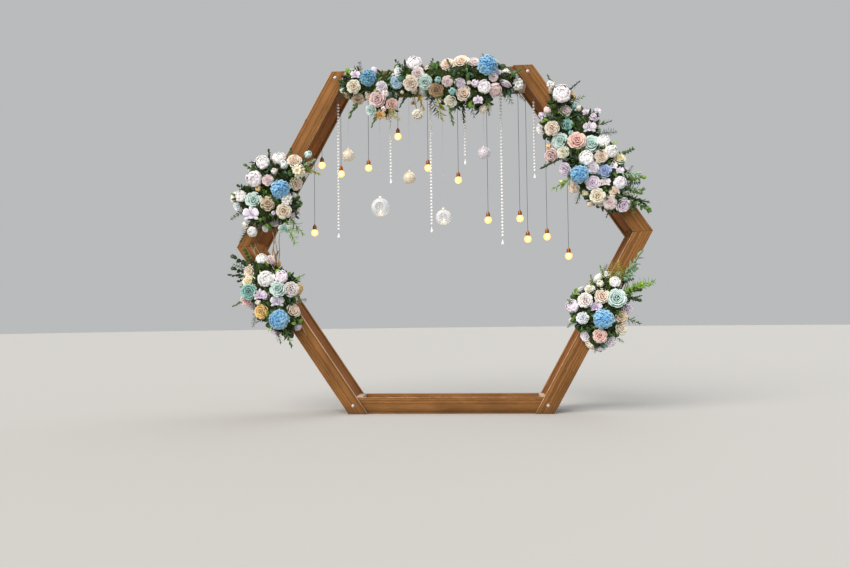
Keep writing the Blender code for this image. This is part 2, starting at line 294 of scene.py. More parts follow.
def tilt(degrees):
    """The turn about X by degrees."""
    return Matrix.Rotation(math.radians(degrees), 4, "X")


def stray(draws, most):
    """A random step of up to this much along each axis."""
    return Vector([draws.uniform(-most, most) for _ in range(3)])


# Materials

def shared(make):
    """Lets a material function run once for each set of its values, so that pieces share a material."""
    kept = {}

    def give(*values):
        if values not in kept:
            kept[values] = make(*values)
        return kept[values]
    return give


def pine(name, light, middle, dark, knot, roughness):
    """Sawn pine with its rings, streaks and knots running along each board, as its grain attribute says."""
    material, shader = new_material(name)
    grain = add(material, "Attribute", {"attribute_name": "grain"})
    place_in_scene = add(material, "TexCoord")
    # Growth rings about 6 mm apart, drawn out along the board into long arches.
    trunk = add(material, "Mapping", {"Scale": (0.045, 1.0, 1.0)}, {"Vector": (grain, "Vector")})
    rings = add(material, "TexWave",
                {"wave_type": "RINGS", "rings_direction": "X", "wave_profile": "SAW", "Scale": 26.0,
                 "Distortion": 2.6, "Detail": 3.0, "Detail Scale": 22.0, "Detail Roughness": 0.55},
                {"Vector": (trunk, "Vector")})
    ring_colour = add(material, "ValToRGB", {"stops": [(0.0, light), (0.55, middle), (1.0, dark)]},
                      {"Fac": (rings, "Fac")})
    # Streaks about 2 mm wide, where the stain lies deeper in the soft wood.
    fibre = add(material, "Mapping", {"Scale": (9.0, 420.0, 420.0)}, {"Vector": (grain, "Vector")})
    streaks = add(material, "TexNoise", {"Scale": 1.0, "Detail": 4.0, "Roughness": 0.6},
                  {"Vector": (fibre, "Vector")})
    streak_shade = add(material, "MapRange",
                       {"From Min": 0.3, "From Max": 0.72, "To Min": 0.76, "To Max": 1.14},
                       {"Value": (streaks, "Fac")})
    # Patches about 150 mm long, where the stain was brushed on unevenly.
    cloud = add(material, "Mapping", {"Scale": (5.0, 14.0, 14.0)}, {"Vector": (grain, "Vector")})
    patches = add(material, "TexNoise", {"Scale": 1.0, "Detail": 3.0}, {"Vector": (cloud, "Vector")})
    patch_shade = add(material, "MapRange",
                      {"From Min": 0.32, "From Max": 0.68, "To Min": 0.80, "To Max": 1.16},
                      {"Value": (patches, "Fac")})
    shade = add(material, "Math", {"operation": "MULTIPLY"},
                {0: (streak_shade, "Result"), 1: (patch_shade, "Result")})
    shaded = add(material, "Mix", {"data_type": "RGBA", "blend_type": "MULTIPLY", 0: 1.0},
                 {6: (ring_colour, "Color"), 7: (shade, "Value")})
    # Knots about 15 mm long, two or three to a metre.
    knot_cells = add(material, "Mapping", {"Scale": (4.2, 8.0, 0.0)}, {"Vector": (grain, "Vector")})
    knots = add(material, "TexVoronoi", {"Scale": 1.0, "Randomness": 1.0}, {"Vector": (knot_cells, "Vector")})
    knot_share = add(material, "MapRange",
                     {"From Min": 0.05, "From Max": 0.10, "To Min": 0.85, "To Max": 0.0},
                     {"Value": (knots, "Distance")})
    knotted = add(material, "Mix", {"data_type": "RGBA", 7: linear(knot)},
                  {0: (knot_share, "Result"), 6: (shaded, 2)})
    # Damp and dirt in the lowest 60 mm of the feet.
    height = add(material, "SeparateXYZ", links={"Vector": (place_in_scene, "Object")})
    damp = add(material, "MapRange", {"From Min": 0.0, "From Max": 0.06, "To Min": 0.45, "To Max": 0.0},
               {"Value": (height, "Z")})
    soiled = add(material, "Mix", {"data_type": "RGBA", 7: linear("3A2C20")},
                 {0: (damp, "Result"), 6: (knotted, 2)})
    gloss = add(material, "MapRange", {"To Min": roughness - 0.1, "To Max": roughness + 0.12},
                {"Value": (streaks, "Fac")})
    relief = add(material, "Math", {"operation": "MULTIPLY_ADD", 1: 0.4},
                 {0: (rings, "Fac"), 2: (streaks, "Fac")})
    bump = add(material, "Bump", {"Strength": 0.5, "Distance": 0.0006}, {"Height": (relief, "Value")})
    tune(material, shader, {"IOR": 1.5, "Specular IOR Level": 0.08},
         {"Base Color": (soiled, 2), "Roughness": (gloss, "Result"), "Normal": (bump, "Normal")})
    return material


@shared
def stained_pine():
    """Oil-stained sawn pine: warm brown with darker late wood and a dull sheen."""
    return pine("oil-stained pine board", "92673E", "835A33", "684626", "3C2613", 0.78)


@shared
def inner_pine_painted_warm_light():
    """The same pine on the boards inside the arch, coloured more orange: painted warm light from the lamps
    that hang there.
    """
    return pine("oil-stained pine inner board", "9C642E", "875326", "693D1B", "3A2110", 0.74)


@shared
def rubbed_edge_and_painted_highlight_pine():
    """The rounded edge of a stained board, rubbed paler; the same pale colour also lies on the legs' long
    edges that face up, as a painted highlight of the light from above.
    """
    return pine("rubbed edge of stained pine", "D2B48E", "B89470", "8E6A4C", "5A3C28", 0.6)


@shared
def bare_pine():
    """Unstained planed pine gone grey-pink out of doors, pale and dull."""
    return pine("bare weathered pine", "C9B3A0", "BCA28E", "A08672", "6E5342", 0.7)


@shared
def silk_petal():
    """Printed polyester silk, heat-pressed: a soft cloth sheen and the dye paler towards the rim."""
    material, shader = new_material("printed polyester silk petal")
    dye = add(material, "Attribute", {"attribute_name": "dye"})
    coordinates = add(material, "TexCoord")
    # Threads are 0.2 mm in the real cloth; they are drawn 1.2 mm apart so that they show.
    warp, weft = [add(material, "TexWave",
                      {"bands_direction": way, "Scale": 9.0, "Distortion": 1.5, "Detail": 1.0},
                      {"Vector": (coordinates, "UV")}) for way in "XY"]
    cloth = add(material, "Math", {"operation": "ADD"}, {0: (warp, "Fac"), 1: (weft, "Fac")})
    # Blotches of dye about 12 mm across.
    blotch = add(material, "TexNoise", {"Scale": 80.0, "Detail": 2.0}, {"Vector": (coordinates, "Object")})
    depth = add(material, "MapRange", {"From Min": 0.3, "From Max": 0.7, "To Min": 0.88, "To Max": 1.06},
                {"Value": (blotch, "Fac")})
    dyed = add(material, "Mix", {"data_type": "RGBA", "blend_type": "MULTIPLY", 0: 1.0},
               {6: (dye, "Color"), 7: (depth, "Result")})
    bump = add(material, "Bump", {"Strength": 0.25, "Distance": 0.0004}, {"Height": (cloth, "Value")})
    tune(material, shader,
         {"Roughness": 0.72, "IOR": 1.46, "Sheen Weight": 0.25, "Sheen Roughness": 0.5,
          "Subsurface Weight": 0.25, "Subsurface Scale": 0.012, "Subsurface Radius": (1.0, 0.85, 0.75),
          "Specular IOR Level": 0.3}, {"Base Color": (dyed, 2), "Normal": (bump, "Normal")})
    return material


@shared
def silk_leaf():
    """Printed polyester leaf with a waxed face: a pale midrib and side veins, and a slight gloss."""
    material, shader = new_material("waxed polyester leaf")
    dye = add(material, "Attribute", {"attribute_name": "dye"})
    coordinates = add(material, "TexCoord")
    across = add(material, "SeparateXYZ", links={"Vector": (coordinates, "UV")})
    from_rib = add(material, "Math", {"operation": "SUBTRACT", 1: 0.5}, {0: (across, "X")})
    beside = add(material, "Math", {"operation": "ABSOLUTE"}, {0: (from_rib, "Value")})
    # The midrib is about a twelfth of the leaf's width, and the side veins slant up from it.
    rib = add(material, "MapRange", {"From Min": 0.02, "From Max": 0.08, "To Min": 1.0, "To Max": 0.0},
              {"Value": (beside, "Value")})
    slant = add(material, "Math", {"operation": "MULTIPLY_ADD", 1: -0.9},
                {0: (beside, "Value"), 2: (across, "Y")})
    vein_line = add(material, "Math", {"operation": "MULTIPLY", 1: 44.0}, {0: (slant, "Value")})
    vein_wave = add(material, "Math", {"operation": "SINE"}, {0: (vein_line, "Value")})
    vein = add(material, "MapRange", {"From Min": 0.6, "From Max": 1.0, "To Min": 0.0, "To Max": 0.5},
               {"Value": (vein_wave, "Value")})
    lines = add(material, "Math", {"operation": "MAXIMUM"}, {0: (rib, "Result"), 1: (vein, "Result")})
    paler = add(material, "Mix", {"data_type": "RGBA", "blend_type": "SCREEN", 7: linear("5C6E3C")},
                {0: (lines, "Value"), 6: (dye, "Color")})
    # Mottling about 16 mm across.
    mottle = add(material, "TexNoise", {"Scale": 60.0, "Detail": 3.0}, {"Vector": (coordinates, "Object")})
    depth = add(material, "MapRange", {"From Min": 0.3, "From Max": 0.7, "To Min": 0.72, "To Max": 1.2},
                {"Value": (mottle, "Fac")})
    dyed = add(material, "Mix", {"data_type": "RGBA", "blend_type": "MULTIPLY", 0: 1.0},
               {6: (paler, 2), 7: (depth, "Result")})
    bump = add(material, "Bump", {"Strength": 0.35, "Distance": 0.0006, "invert": True},
               {"Height": (lines, "Value")})
    tune(material, shader, {"Roughness": 0.5, "IOR": 1.46, "Sheen Weight": 0.08, "Specular IOR Level": 0.4},
         {"Base Color": (dyed, 2), "Normal": (bump, "Normal")})
    return material


def clouded(name, noise_settings, stops, settings, relief=None, colours=("Base Color",)):
    """A material whose colour runs through a ramp's stops with a noise over the piece, and its relief too."""
    material, shader = new_material(name)
    coordinates = add(material, "TexCoord")
    cloud = add(material, "TexNoise", noise_settings, {"Vector": (coordinates, "Object")})
    links = {}
    if stops:
        ramp = add(material, "ValToRGB", {"stops": stops}, {"Fac": (cloud, "Fac")})
        links = {socket: (ramp, "Color") for socket in colours}
    if relief:
        bump = add(material, "Bump", relief, {"Height": (cloud, "Fac")})
        links["Normal"] = (bump, "Normal")
    tune(material, shader, settings, links)
    return material


@shared
def moss():
    """Dried reindeer moss over foam: dark green in tufts of 8 mm, partly its own colour and partly painted
    shade, near black in the hollows between the tufts; quite matt.
    """
    # The darkest stop falls where the bump is lowest: painted shade in the hollows between the tufts.
    return clouded("dried moss on foam", {"Scale": 120.0, "Detail": 6.0, "Roughness": 0.7},
                   [(0.3, "171A0F"), (0.5, "2A3518"), (0.72, "4F5E2C")],
                   {"Roughness": 0.95, "Specular IOR Level": 0.15}, {"Strength": 0.9, "Distance": 0.004})


@shared
def twig_bark():
    """Thin dried willow twig: pale brown bark with darker rings about 5 mm apart, dull."""
    return clouded("dried willow twig", {"Scale": 200.0, "Detail": 3.0}, [(0.3, "5B4636"), (0.7, "B39A7C")],
                   {"Roughness": 0.8}, {"Strength": 0.5, "Distance": 0.0004})


@shared
def cut_glass_painted_reflection():
    """Clear pressed glass with flat facets and faint waves of 10 mm from the press, drawn mostly white: the
    white is a painted reflection, with bright points.
    """
    return clouded("faceted clear glass", {"Scale": 100.0, "Detail": 1.0}, None,
                   {"Base Color": linear("FCFDFE"), "Roughness": 0.10, "IOR": 1.52,
                    "Transmission Weight": 0.15}, {"Strength": 0.08, "Distance": 0.0008})


@shared
def crackle_glass(name, body_colour, line_colour):
    """Blown glass dipped in water while hot: a milky body with a net of fine cracks that glint."""
    material, shader = new_material(name)
    coordinates = add(material, "TexCoord")
    # Cracks about 12 mm apart.
    cells = add(material, "TexVoronoi", {"feature": "DISTANCE_TO_EDGE", "Scale": 80.0},
                {"Vector": (coordinates, "Object")})
    line = add(material, "MapRange", {"From Min": 0.0, "From Max": 0.16, "To Min": 1.0, "To Max": 0.0},
               {"Value": (cells, "Distance")})
    cloud = add(material, "TexNoise", {"Scale": 70.0, "Detail": 3.0}, {"Vector": (coordinates, "Object")})
    shade = add(material, "MapRange", {"From Min": 0.35, "From Max": 0.65, "To Min": 0.72, "To Max": 1.02},
                {"Value": (cloud, "Fac")})
    body = add(material, "Mix",
               {"data_type": "RGBA", "blend_type": "MULTIPLY", 0: 1.0, 6: linear(body_colour)},
               {7: (shade, "Result")})
    cracked = add(material, "Mix", {"data_type": "RGBA", 7: linear(line_colour)},
                  {0: (line, "Result"), 6: (body, 2)})
    bump = add(material, "Bump", {"Strength": 0.6, "Distance": 0.0008, "invert": True},
               {"Height": (line, "Result")})
    tune(material, shader,
         {"Roughness": 0.12, "IOR": 1.5, "Transmission Weight": 0.15, "Coat Weight": 0.4,
          "Coat Roughness": 0.05}, {"Base Color": (cracked, 2), "Normal": (bump, "Normal")})
    return material


@shared
def blown_glass_painted_reflection():
    """Clear blown soda glass drawn as a see-through milky white with a faint cool cast: the white is a
    painted reflection of the bright surround, in streaks 40 mm apart and brightest at the rims.
    """
    return clouded("clear blown glass", {"Scale": 25.0, "Detail": 0.0}, [(0.3, "E4EAF0"), (0.7, "FFFFFF")],
                   {"Roughness": 0.04, "IOR": 1.5, "Alpha": 0.38})


def ground_glass():
    # Glass ground matt with grit: cream white and soft. Cloudiness of 3 mm.
    return speckled("ground glass neck", "F8F1DF", "E4D9C2", 300.0, 0.35, 0.0, 0.0002)


@shared
def lamp_core():
    """The lit core of a lamp: near white with a warm tinge, a little uneven over 6 mm."""
    return clouded("lit lamp core", {"Scale": 160.0, "Detail": 2.0}, [(0.3, "FFE2A8"), (0.7, "FFF3D2")],
                   {"Roughness": 0.4, "IOR": 1.5, "Emission Strength": 2.4},
                   colours=("Base Color", "Emission Color"))


@shared
def lamp_glass():
    """Thin blown lamp glass in waves of 12 mm, with an amber wash: clear, and glowing gold round its core."""
    return clouded("amber blown lamp glass", {"Scale": 80.0, "Detail": 2.0},
                   [(0.3, "FFB65C"), (0.7, "FFD08A")],
                   {"Roughness": 0.12, "IOR": 1.2, "Transmission Weight": 0.85, "Emission Strength": 0.75},
                   {"Strength": 0.1, "Distance": 0.0005}, ("Base Color", "Emission Color"))


@shared
def speckled(name, pale, dark, scale, roughness, metallic, relief):
    """A hard finish whose colour and gloss vary a little, for the small fittings."""
    material, shader = new_material(name)
    coordinates = add(material, "TexCoord")
    specks = add(material, "TexNoise", {"Scale": scale, "Detail": 4.0, "Roughness": 0.6},
                 {"Vector": (coordinates, "Object")})
    colour = add(material, "ValToRGB", {"stops": [(0.3, dark), (0.7, pale)]}, {"Fac": (specks, "Fac")})
    gloss = add(material, "MapRange", {"To Min": roughness - 0.08, "To Max": roughness + 0.12},
                {"Value": (specks, "Fac")})
    bump = add(material, "Bump", {"Strength": 0.3, "Distance": relief}, {"Height": (specks, "Fac")})
    tune(material, shader, {"Metallic": metallic},
         {"Base Color": (colour, "Color"), "Roughness": (gloss, "Result"), "Normal": (bump, "Normal")})
    return material


def zinc_steel():
    # Zinc-plated steel wire, drawn and bent: cool grey and fairly bright. Grains of 2 mm.
    return speckled("zinc-plated steel wire", "B9BDC0", "7E8386", 500.0, 0.35, 1.0, 0.0001)


def bolt_cap_plastic():
    # Moulded polypropylene bolt cap: off-white, weathered dull. Marks of 3 mm.
    return speckled("moulded polypropylene cap", "D8CFC6", "AFA499", 300.0, 0.55, 0.0, 0.0002)


def nylon_thread():
    # Twisted nylon: pale grey and slightly glossy. Twists of 1 mm.
    return speckled("twisted nylon thread", "D8D6D2", "9A9894", 900.0, 0.4, 0.0, 0.0002)


def lamp_flex():
    # Rubber-sheathed copper flex: nearly black and matt. Specks of 2 mm.
    return speckled("black rubber flex", "2B2724", "14110F", 500.0, 0.62, 0.0, 0.0002)


def socket_metal():
    # Copper-plated lamp holder: orange-brown, brushed and a little tarnished. Patches of 5 mm.
    return speckled("brushed copper lamp holder", "C07A45", "7A4524", 200.0, 0.38, 0.85, 0.0002)


def glowing(colour, strength, *finish):
    """A speckled finish that also glows."""
    material = speckled(*finish)
    tune(material, material.node_tree.nodes["Principled BSDF"],
         {"Emission Color": linear(colour), "Emission Strength": strength})
    return material


def candle_wax_painted_glow():
    # Paraffin wax: white, with a low gloss, and a painted glow that stands for the light of the lamps round
    # it. Cloudiness of 8 mm.
    return glowing("FFEBC4", 0.55, "white paraffin wax", "FBF5E6", "F1E4C8", 120.0, 0.45, 0.0, 0.0003)


def candle_cup_painted_glow():
    # Milky polycarbonate cup: cream, with a painted glow that stands for the flame's light in its wax.
    # Cloudiness of 8 mm.
    return glowing("FFE9BE", 0.60, "milky polycarbonate cup", "FBF3DF", "F0DFBC", 120.0, 0.25, 0.0, 0.0002)


def candle_flame():
    # Burning wax vapour: a warm white glow, a little yellower at the edge. Unevenness of 5 mm.
    return glowing("FFF0C8", 1.8, "candle flame", "FFF6D8", "FFE9B0", 200.0, 0.5, 0.0, 0.0)


def wick_cotton():
    # Waxed cotton wick: off-white and matt. Fibres of 1 mm.
    return speckled("waxed cotton wick", "CFC6B4", "7C7264", 900.0, 0.8, 0.0, 0.0002)


# Sizes and colours that a user may change

class WEDDING_PG_stage(bpy.types.PropertyGroup):
    """The photograph's camera, the floor and the light"""
    place: FloatVectorProperty(name="Camera place", description="Where the camera stands",
                               default=(0.2510, -4.6398, 0.5841), subtype="TRANSLATION", unit="LENGTH")
    lens: FloatProperty(name="Lens", description="Focal length for a 36 mm sensor", default=31.765, min=10.0)
    yaw: FloatProperty(name="Yaw", description="Turn to the right of straight on",
                       default=-0.0745, subtype="ANGLE", unit="ROTATION")
    pitch: FloatProperty(name="Pitch", description="Tilt above level",
                         default=0.0458, subtype="ANGLE", unit="ROTATION")
    roll: FloatProperty(name="Roll", description="Turn about the line of sight",
                        default=-0.0112, subtype="ANGLE", unit="ROTATION")
    floor_radius: FloatProperty(name="Floor radius", description="Radius of the pale floor",
                                default=40.0, min=3.0, subtype="DISTANCE", unit="LENGTH")
    floor_colour: FloatVectorProperty(name="Floor colour", description="Colour of the floor",
                                      default=linear("B7B6B2")[:3], subtype="COLOR", min=0.0, max=1.0)
    sky_colour: FloatVectorProperty(name="Surround colour", description="Colour of the light all round",
                                    default=linear("DADBDC")[:3], subtype="COLOR", min=0.0, max=1.0)
    sky_strength: FloatProperty(name="Surround strength", description="Strength of the light all round",
                                default=0.70, min=0.0)
    key_strength: FloatProperty(name="Key light", description="Strength of the soft light above in front",
                                default=3.45, min=0.0)
    fill_strength: FloatProperty(name="Back light", description="Strength of the soft light above behind",
                                 default=1.1, min=0.0)


class WEDDING_PG_boards(bpy.types.PropertyGroup):
    """The arch's boards and their bolts"""
    edge: FloatProperty(name="Rounded edge", description="Width of the rubbed edge of a board",
                        default=0.0020, min=0.0002, subtype="DISTANCE", unit="LENGTH")
    cap_radius: FloatProperty(name="Bolt cap radius", description="Radius of the round cap on a bolt",
                              default=0.0078, min=0.002, subtype="DISTANCE", unit="LENGTH")
    cap_height: FloatProperty(name="Bolt cap height", description="How far a bolt cap stands out",
                              default=0.0050, min=0.001, subtype="DISTANCE", unit="LENGTH")


class WEDDING_PG_pendants(bpy.types.PropertyGroup):
    """What hangs inside the arch"""
    thread: FloatProperty(name="Thread", description="Thickness of the threads that beads and balls hang on",
                          default=0.0012, min=0.0003, subtype="DISTANCE", unit="LENGTH")
    flex: FloatProperty(name="Lamp flex", description="Thickness of the flex that a lamp hangs on",
                        default=0.0025, min=0.0005, subtype="DISTANCE", unit="LENGTH")
    bead_radius: FloatProperty(name="Bead radius", description="Radius of a faceted glass bead",
                               default=0.0080, min=0.001, subtype="DISTANCE", unit="LENGTH")
    bead_spacing: FloatProperty(name="Bead spacing", description="From one bead's middle to the next",
                                default=0.0204, min=0.004, subtype="DISTANCE", unit="LENGTH")
    wall: FloatProperty(name="Glass thickness", description="Thickness of the glass of the open globes",
                        default=0.0025, min=0.0005, subtype="DISTANCE", unit="LENGTH")


class WEDDING_PG_sprays(bpy.types.PropertyGroup):
    """The flower sprays"""
    inset: FloatProperty(name="Moss inset", description="How far the moss pad lies inside the flowers",
                         default=0.040, min=0.0, subtype="DISTANCE", unit="LENGTH")
    petal: FloatProperty(name="Petal thickness", description="Thickness of a petal over its flower's radius",
                         default=0.025, min=0.001)
    leaves: IntProperty(name="Leaves", description="Single leaves to a square metre of moss",
                        default=2600, min=0)
    fillers: IntProperty(name="Fillers", description="Flowers tried in each spray's bare places",
                         default=60, min=0)
    seed: IntProperty(name="Seed", description="Start of the random draws", default=11, min=0)


SETTINGS = (
    ("wedding_stage", WEDDING_PG_stage),
    ("wedding_boards", WEDDING_PG_boards),
    ("wedding_pendants", WEDDING_PG_pendants),
    ("wedding_sprays", WEDDING_PG_sprays),
)


# Camera, floor and light

def line_of_sight(stage):
    """The camera's own right, up and forward directions."""
    forward = Vector((math.sin(stage.yaw) * math.cos(stage.pitch),
                      math.cos(stage.yaw) * math.cos(stage.pitch), math.sin(stage.pitch)))
    level = Vector((math.cos(stage.yaw), -math.sin(stage.yaw), 0.0))
    upright = level.cross(forward)
    right = level * math.cos(stage.roll) + upright * math.sin(stage.roll)
    up = upright * math.cos(stage.roll) - level * math.sin(stage.roll)
    return right, up, forward


def sight_through(stage, across, down):
    """The direction from the camera through a point of the photograph, in pixels."""
    right, up, forward = line_of_sight(stage)
    focal = stage.lens / SENSOR_WIDTH * PHOTO_ACROSS
    return (forward + right * ((across - PHOTO_ACROSS / 2) / focal)
            + up * ((PHOTO_DOWN / 2 - down) / focal)).normalized()


def add_camera(stage):
    """Adds the camera at the photograph's angle."""
    right, up, forward = line_of_sight(stage)
    data = bpy.data.cameras.new("photograph's angle")
    data.sensor_fit = "HORIZONTAL"
    data.sensor_width = SENSOR_WIDTH
    data.lens = stage.lens
    data.clip_end = 200.0
    camera = put("photograph's angle", data)
    camera.matrix_world = at(*stage.place) @ Matrix((right, up, -forward)).transposed().to_4x4()
    bpy.context.scene.camera = camera


def add_floor(stage):
    """Adds the pale floor."""
    clear_selection()
    bpy.ops.mesh.primitive_circle_add(vertices=96, radius=stage.floor_radius, fill_type="NGON")
    floor = new_piece("studio_floor")
    material, shader = new_material("matt painted floor")
    coordinates = add(material, "TexCoord")
    # Roller marks about 20 mm across, barely there.
    marks = add(material, "TexNoise", {"Scale": 50.0, "Detail": 2.0}, {"Vector": (coordinates, "Object")})
    bump = add(material, "Bump", {"Strength": 0.05, "Distance": 0.001}, {"Height": (marks, "Fac")})
    tune(material, shader, {"Base Color": (*stage.floor_colour, 1.0), "Roughness": 0.85,
                            "Specular IOR Level": 0.2}, {"Normal": (bump, "Normal")})
    coat(floor, material)


def add_soft_light(name, way, spread, strength, colour):
    """A light without an end, shining along a way, whose shadows blur over the spread."""
    data = bpy.data.lights.new(name, "SUN")
    data.angle = math.radians(spread)
    data.energy = strength
    data.color = linear(colour)[:3]
    light = put(name, data)
    light.matrix_world = at(0.0, 0.0, 5.0) @ Vector(way).to_track_quat("-Z", "Y").to_matrix().to_4x4()


def add_light(stage):
    """Adds the even light of the surround and two soft lights."""
    world = bpy.data.worlds.new("soft studio")
    world.use_nodes = True
    background = world.node_tree.nodes["Background"]
    background.inputs["Color"].default_value = (*stage.sky_colour, 1.0)
    background.inputs["Strength"].default_value = stage.sky_strength
    bpy.context.scene.world = world
    add_soft_light("key above in front", (0.45, 0.80, -0.75), 50, stage.key_strength, "FFF8F0")
    add_soft_light("fill above behind", (-0.40, -0.60, -0.90), 60, stage.fill_strength, "F0F4FF")
    bpy.context.scene.view_settings.view_transform = "Standard"


class WEDDING_OT_stage(bpy.types.Operator):
    """Adds the camera of the photograph, the pale floor and the soft light"""
    bl_idname = "wedding.add_stage"
    bl_label = "Camera, floor and light"

    def execute(self, context):
        stage = context.scene.wedding_stage
        add_camera(stage)
        add_floor(stage)
        add_light(stage)
        return {"FINISHED"}


# Boards and bolts

LEFT_LEAN, RIGHT_LEAN = math.radians(34), math.radians(29)
LEVEL = Vector((1.0, 0.0, 0.0))
INWARDS = Vector((0.0, 1.0, 0.0))
LEANS_LEFT = Vector((-math.sin(LEFT_LEAN), 0.0, math.cos(LEFT_LEAN)))
LEANS_RIGHT = Vector((math.sin(RIGHT_LEAN), 0.0, math.cos(RIGHT_LEAN)))
SIDE_GRAIN = {"lower_left": LEANS_LEFT, "upper_right": LEANS_LEFT,
              "lower_right": LEANS_RIGHT, "upper_left": LEANS_RIGHT}
ENDS = ("front", "back")


def lay_grain(item, along, across, spot):
    """Stores each point's place along, across and through the board as its grain, starting at a spot."""
    through = along.cross(across)
    grain = item.data.attributes.new("grain", "FLOAT_VECTOR", "POINT")
    for vertex, value in zip(item.data.vertices, grain.data):
        value.vector = (vertex.co.dot(along) + spot.x, vertex.co.dot(across) + spot.y,
                        vertex.co.dot(through) + spot.z)


def add_board(name, slot_name, along, across, number, edge, face_material, edge_and_highlight_material, painted_highlight_on_top=False):
    """Copies a board of the frame, rounds its edges and lays its grain; with a painted highlight on top, its
    long edges that face up take the pale edge colour as painted light from above.
    """
    board = copy_of(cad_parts[name], Matrix(), name + "_timber")
    board.data.name = board.name
    edit(board)
    bpy.ops.mesh.remove_doubles(threshold=2e-5)
    bpy.ops.mesh.dissolve_limited(angle_limit=math.radians(1))
    bpy.ops.mesh.normals_make_consistent(inside=False)
    leave_edit()
    coat(board, face_material, edge_and_highlight_material)
    apply_modifier(board, "BEVEL", width=edge, segments=2, limit_method="ANGLE",
                   angle_limit=math.radians(25), material=1)
    # The rounded edges take the pale rubbed colour; on the legs the long edges that face up take it too, as a
    # painted highlight of the light from above.
    for face in board.data.polygons:
        if abs(face.normal.dot(along)) > 0.2:
            face.material_index = 0
        elif painted_highlight_on_top and face.normal.z > 0.3 and abs(face.normal.dot(across)) > 0.9:
            face.material_index = 1
    # Each board is cut from its own place in a trunk, whose middle lies 30 to 60 mm off the board's.
    draws = random.Random(number)
    middle = (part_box(name)[0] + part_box(name)[1]) / 2
    through = along.cross(across)
    pith = Vector((draws.uniform(0.0, 9.0), draws.uniform(-0.03, 0.03) - middle.dot(across),
                   draws.choice((-1, 1)) * draws.uniform(0.03, 0.06) - middle.dot(through)))
    lay_grain(board, along, across, pith)
    smooth(board, 30)
    return place(board, slot_name, name)


def add_boards(boards):
    """The leg boards, rails, webs and soffit in stained pine, and the bare corner blocks."""
    number = 0
    stained, inner, edge_and_highlight = stained_pine(), inner_pine_painted_warm_light(), rubbed_edge_and_painted_highlight_pine()
    for side, along in SIDE_GRAIN.items():
        for end in ENDS:
            number += 1
            # The leg boards' long edges that face up are painted pale: a painted highlight.
            add_board(f"{end}_{side}_board", "stained_pine", along, along.cross(INWARDS), number,
                      boards.edge, stained, edge_and_highlight, painted_highlight_on_top=True)
        number += 1
        # The webs take the more orange pine: painted warm light from the lamps.
        add_board(f"{side}_web", "stained_pine", along, INWARDS, number, boards.edge, inner, edge_and_highlight)
    for end in ENDS:
        for level in ("bottom", "top"):
            number += 1
            add_board(f"{end}_{level}_rail", "stained_pine", LEVEL, LEVEL.cross(INWARDS), number,
                      boards.edge, stained, edge_and_highlight)
    # The soffit takes the more orange pine too: painted warm light.
    add_board("top_soffit", "stained_pine", LEVEL, INWARDS, number + 1, boards.edge, inner, edge_and_highlight)
    bare = bare_pine()
    for corner in ("bottom_left", "bottom_right", "top_left", "top_right"):
        number += 2
        add_board(f"{corner}_spacer", "plain_pine", INWARDS, LEVEL, number, boards.edge, bare, bare)


# The bolts at the four corners of the top and bottom, as seen in the photograph: across and up in metres
BOLTS = ((-0.5405, 0.051), (0.6435, 0.050), (-0.6385, 2.089), (0.5575, 2.088))
WASHER_DEPTH = 0.0012


def add_bolts(boards):
    """A domed cap over a thin washer at each bolt, on the front boards and on the back ones."""
    clear_selection()
    bpy.ops.mesh.primitive_cylinder_add(vertices=32, radius=boards.cap_radius * 1.35, depth=WASHER_DEPTH)
    washer = new_piece("washer")
    apply_modifier(washer, "BEVEL", width=0.0004, segments=2, limit_method="ANGLE")
    coat(washer, zinc_steel())
    clear_selection()
    bpy.ops.mesh.primitive_uv_sphere_add(segments=32, ring_count=16, radius=boards.cap_radius)
    cap = new_piece("cap")
    edit(cap)
    bpy.ops.mesh.bisect(plane_co=(0.0, 0.0, 0.0), plane_no=(0.0, 0.0, 1.0), clear_inner=True, use_fill=True)
    bpy.ops.mesh.select_all(action="SELECT")
    scale_by(1.0, 1.0, boards.cap_height / boards.cap_radius)
    move_by(0.0, 0.0, WASHER_DEPTH)
    leave_edit()
    coat(cap, bolt_cap_plastic())
    for side, (end, turned) in enumerate(zip(ENDS, ((0, -1, 0), (0, 1, 0)))):
        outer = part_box(f"{end}_lower_left_board")[side].y
        parts = []
        for x, z in BOLTS:
            where = at(x, outer, z) @ facing(turned)
            parts += [copy_of(washer, where), copy_of(cap, where)]
        bolts = join(f"{end}_bolt_caps", parts)
        face_outwards(bolts)
        smooth(bolts, 35)
        place(bolts, "thread")
    discard(washer, cap)


class WEDDING_OT_boards(bpy.types.Operator):
    """Adds the stained boards and the bare corner blocks"""
    bl_idname = "wedding.add_boards"
    bl_label = "Boards"

    def execute(self, context):
        add_boards(context.scene.wedding_boards)
        return {"FINISHED"}


class WEDDING_OT_bolts(bpy.types.Operator):
    """Adds the bolt caps at the corners"""
    bl_idname = "wedding.add_bolts"
    bl_label = "Bolt caps"

    def execute(self, context):
        add_bolts(context.scene.wedding_boards)
        return {"FINISHED"}


# What hangs inside the arch

HOOK_DROP = 0.010
SHANK_RADIUS, SHANK_LENGTH = 0.0011, 0.0040
COLLAR_RADIUS, COLLAR_DEPTH, COLLAR_MIDDLE = 0.0022, 0.0008, -0.0018
EYE_RADIUS, EYE_WIRE, EYE_MIDDLE = 0.0028, 0.0007, -0.0068


def middle_of(node):
    """A node's middle across the floor, and its top and bottom."""
    low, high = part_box(node)
    return (low.x + high.x) / 2, (low.y + high.y) / 2, high.z, low.z


def cylinder(name, vertices, radius, depth, middle):
    """A cylinder round the Z axis with its middle at a height."""
    clear_selection()
    bpy.ops.mesh.primitive_cylinder_add(vertices=vertices, radius=radius, depth=depth,
                                        location=(0, 0, middle))
    return settled_piece(name)


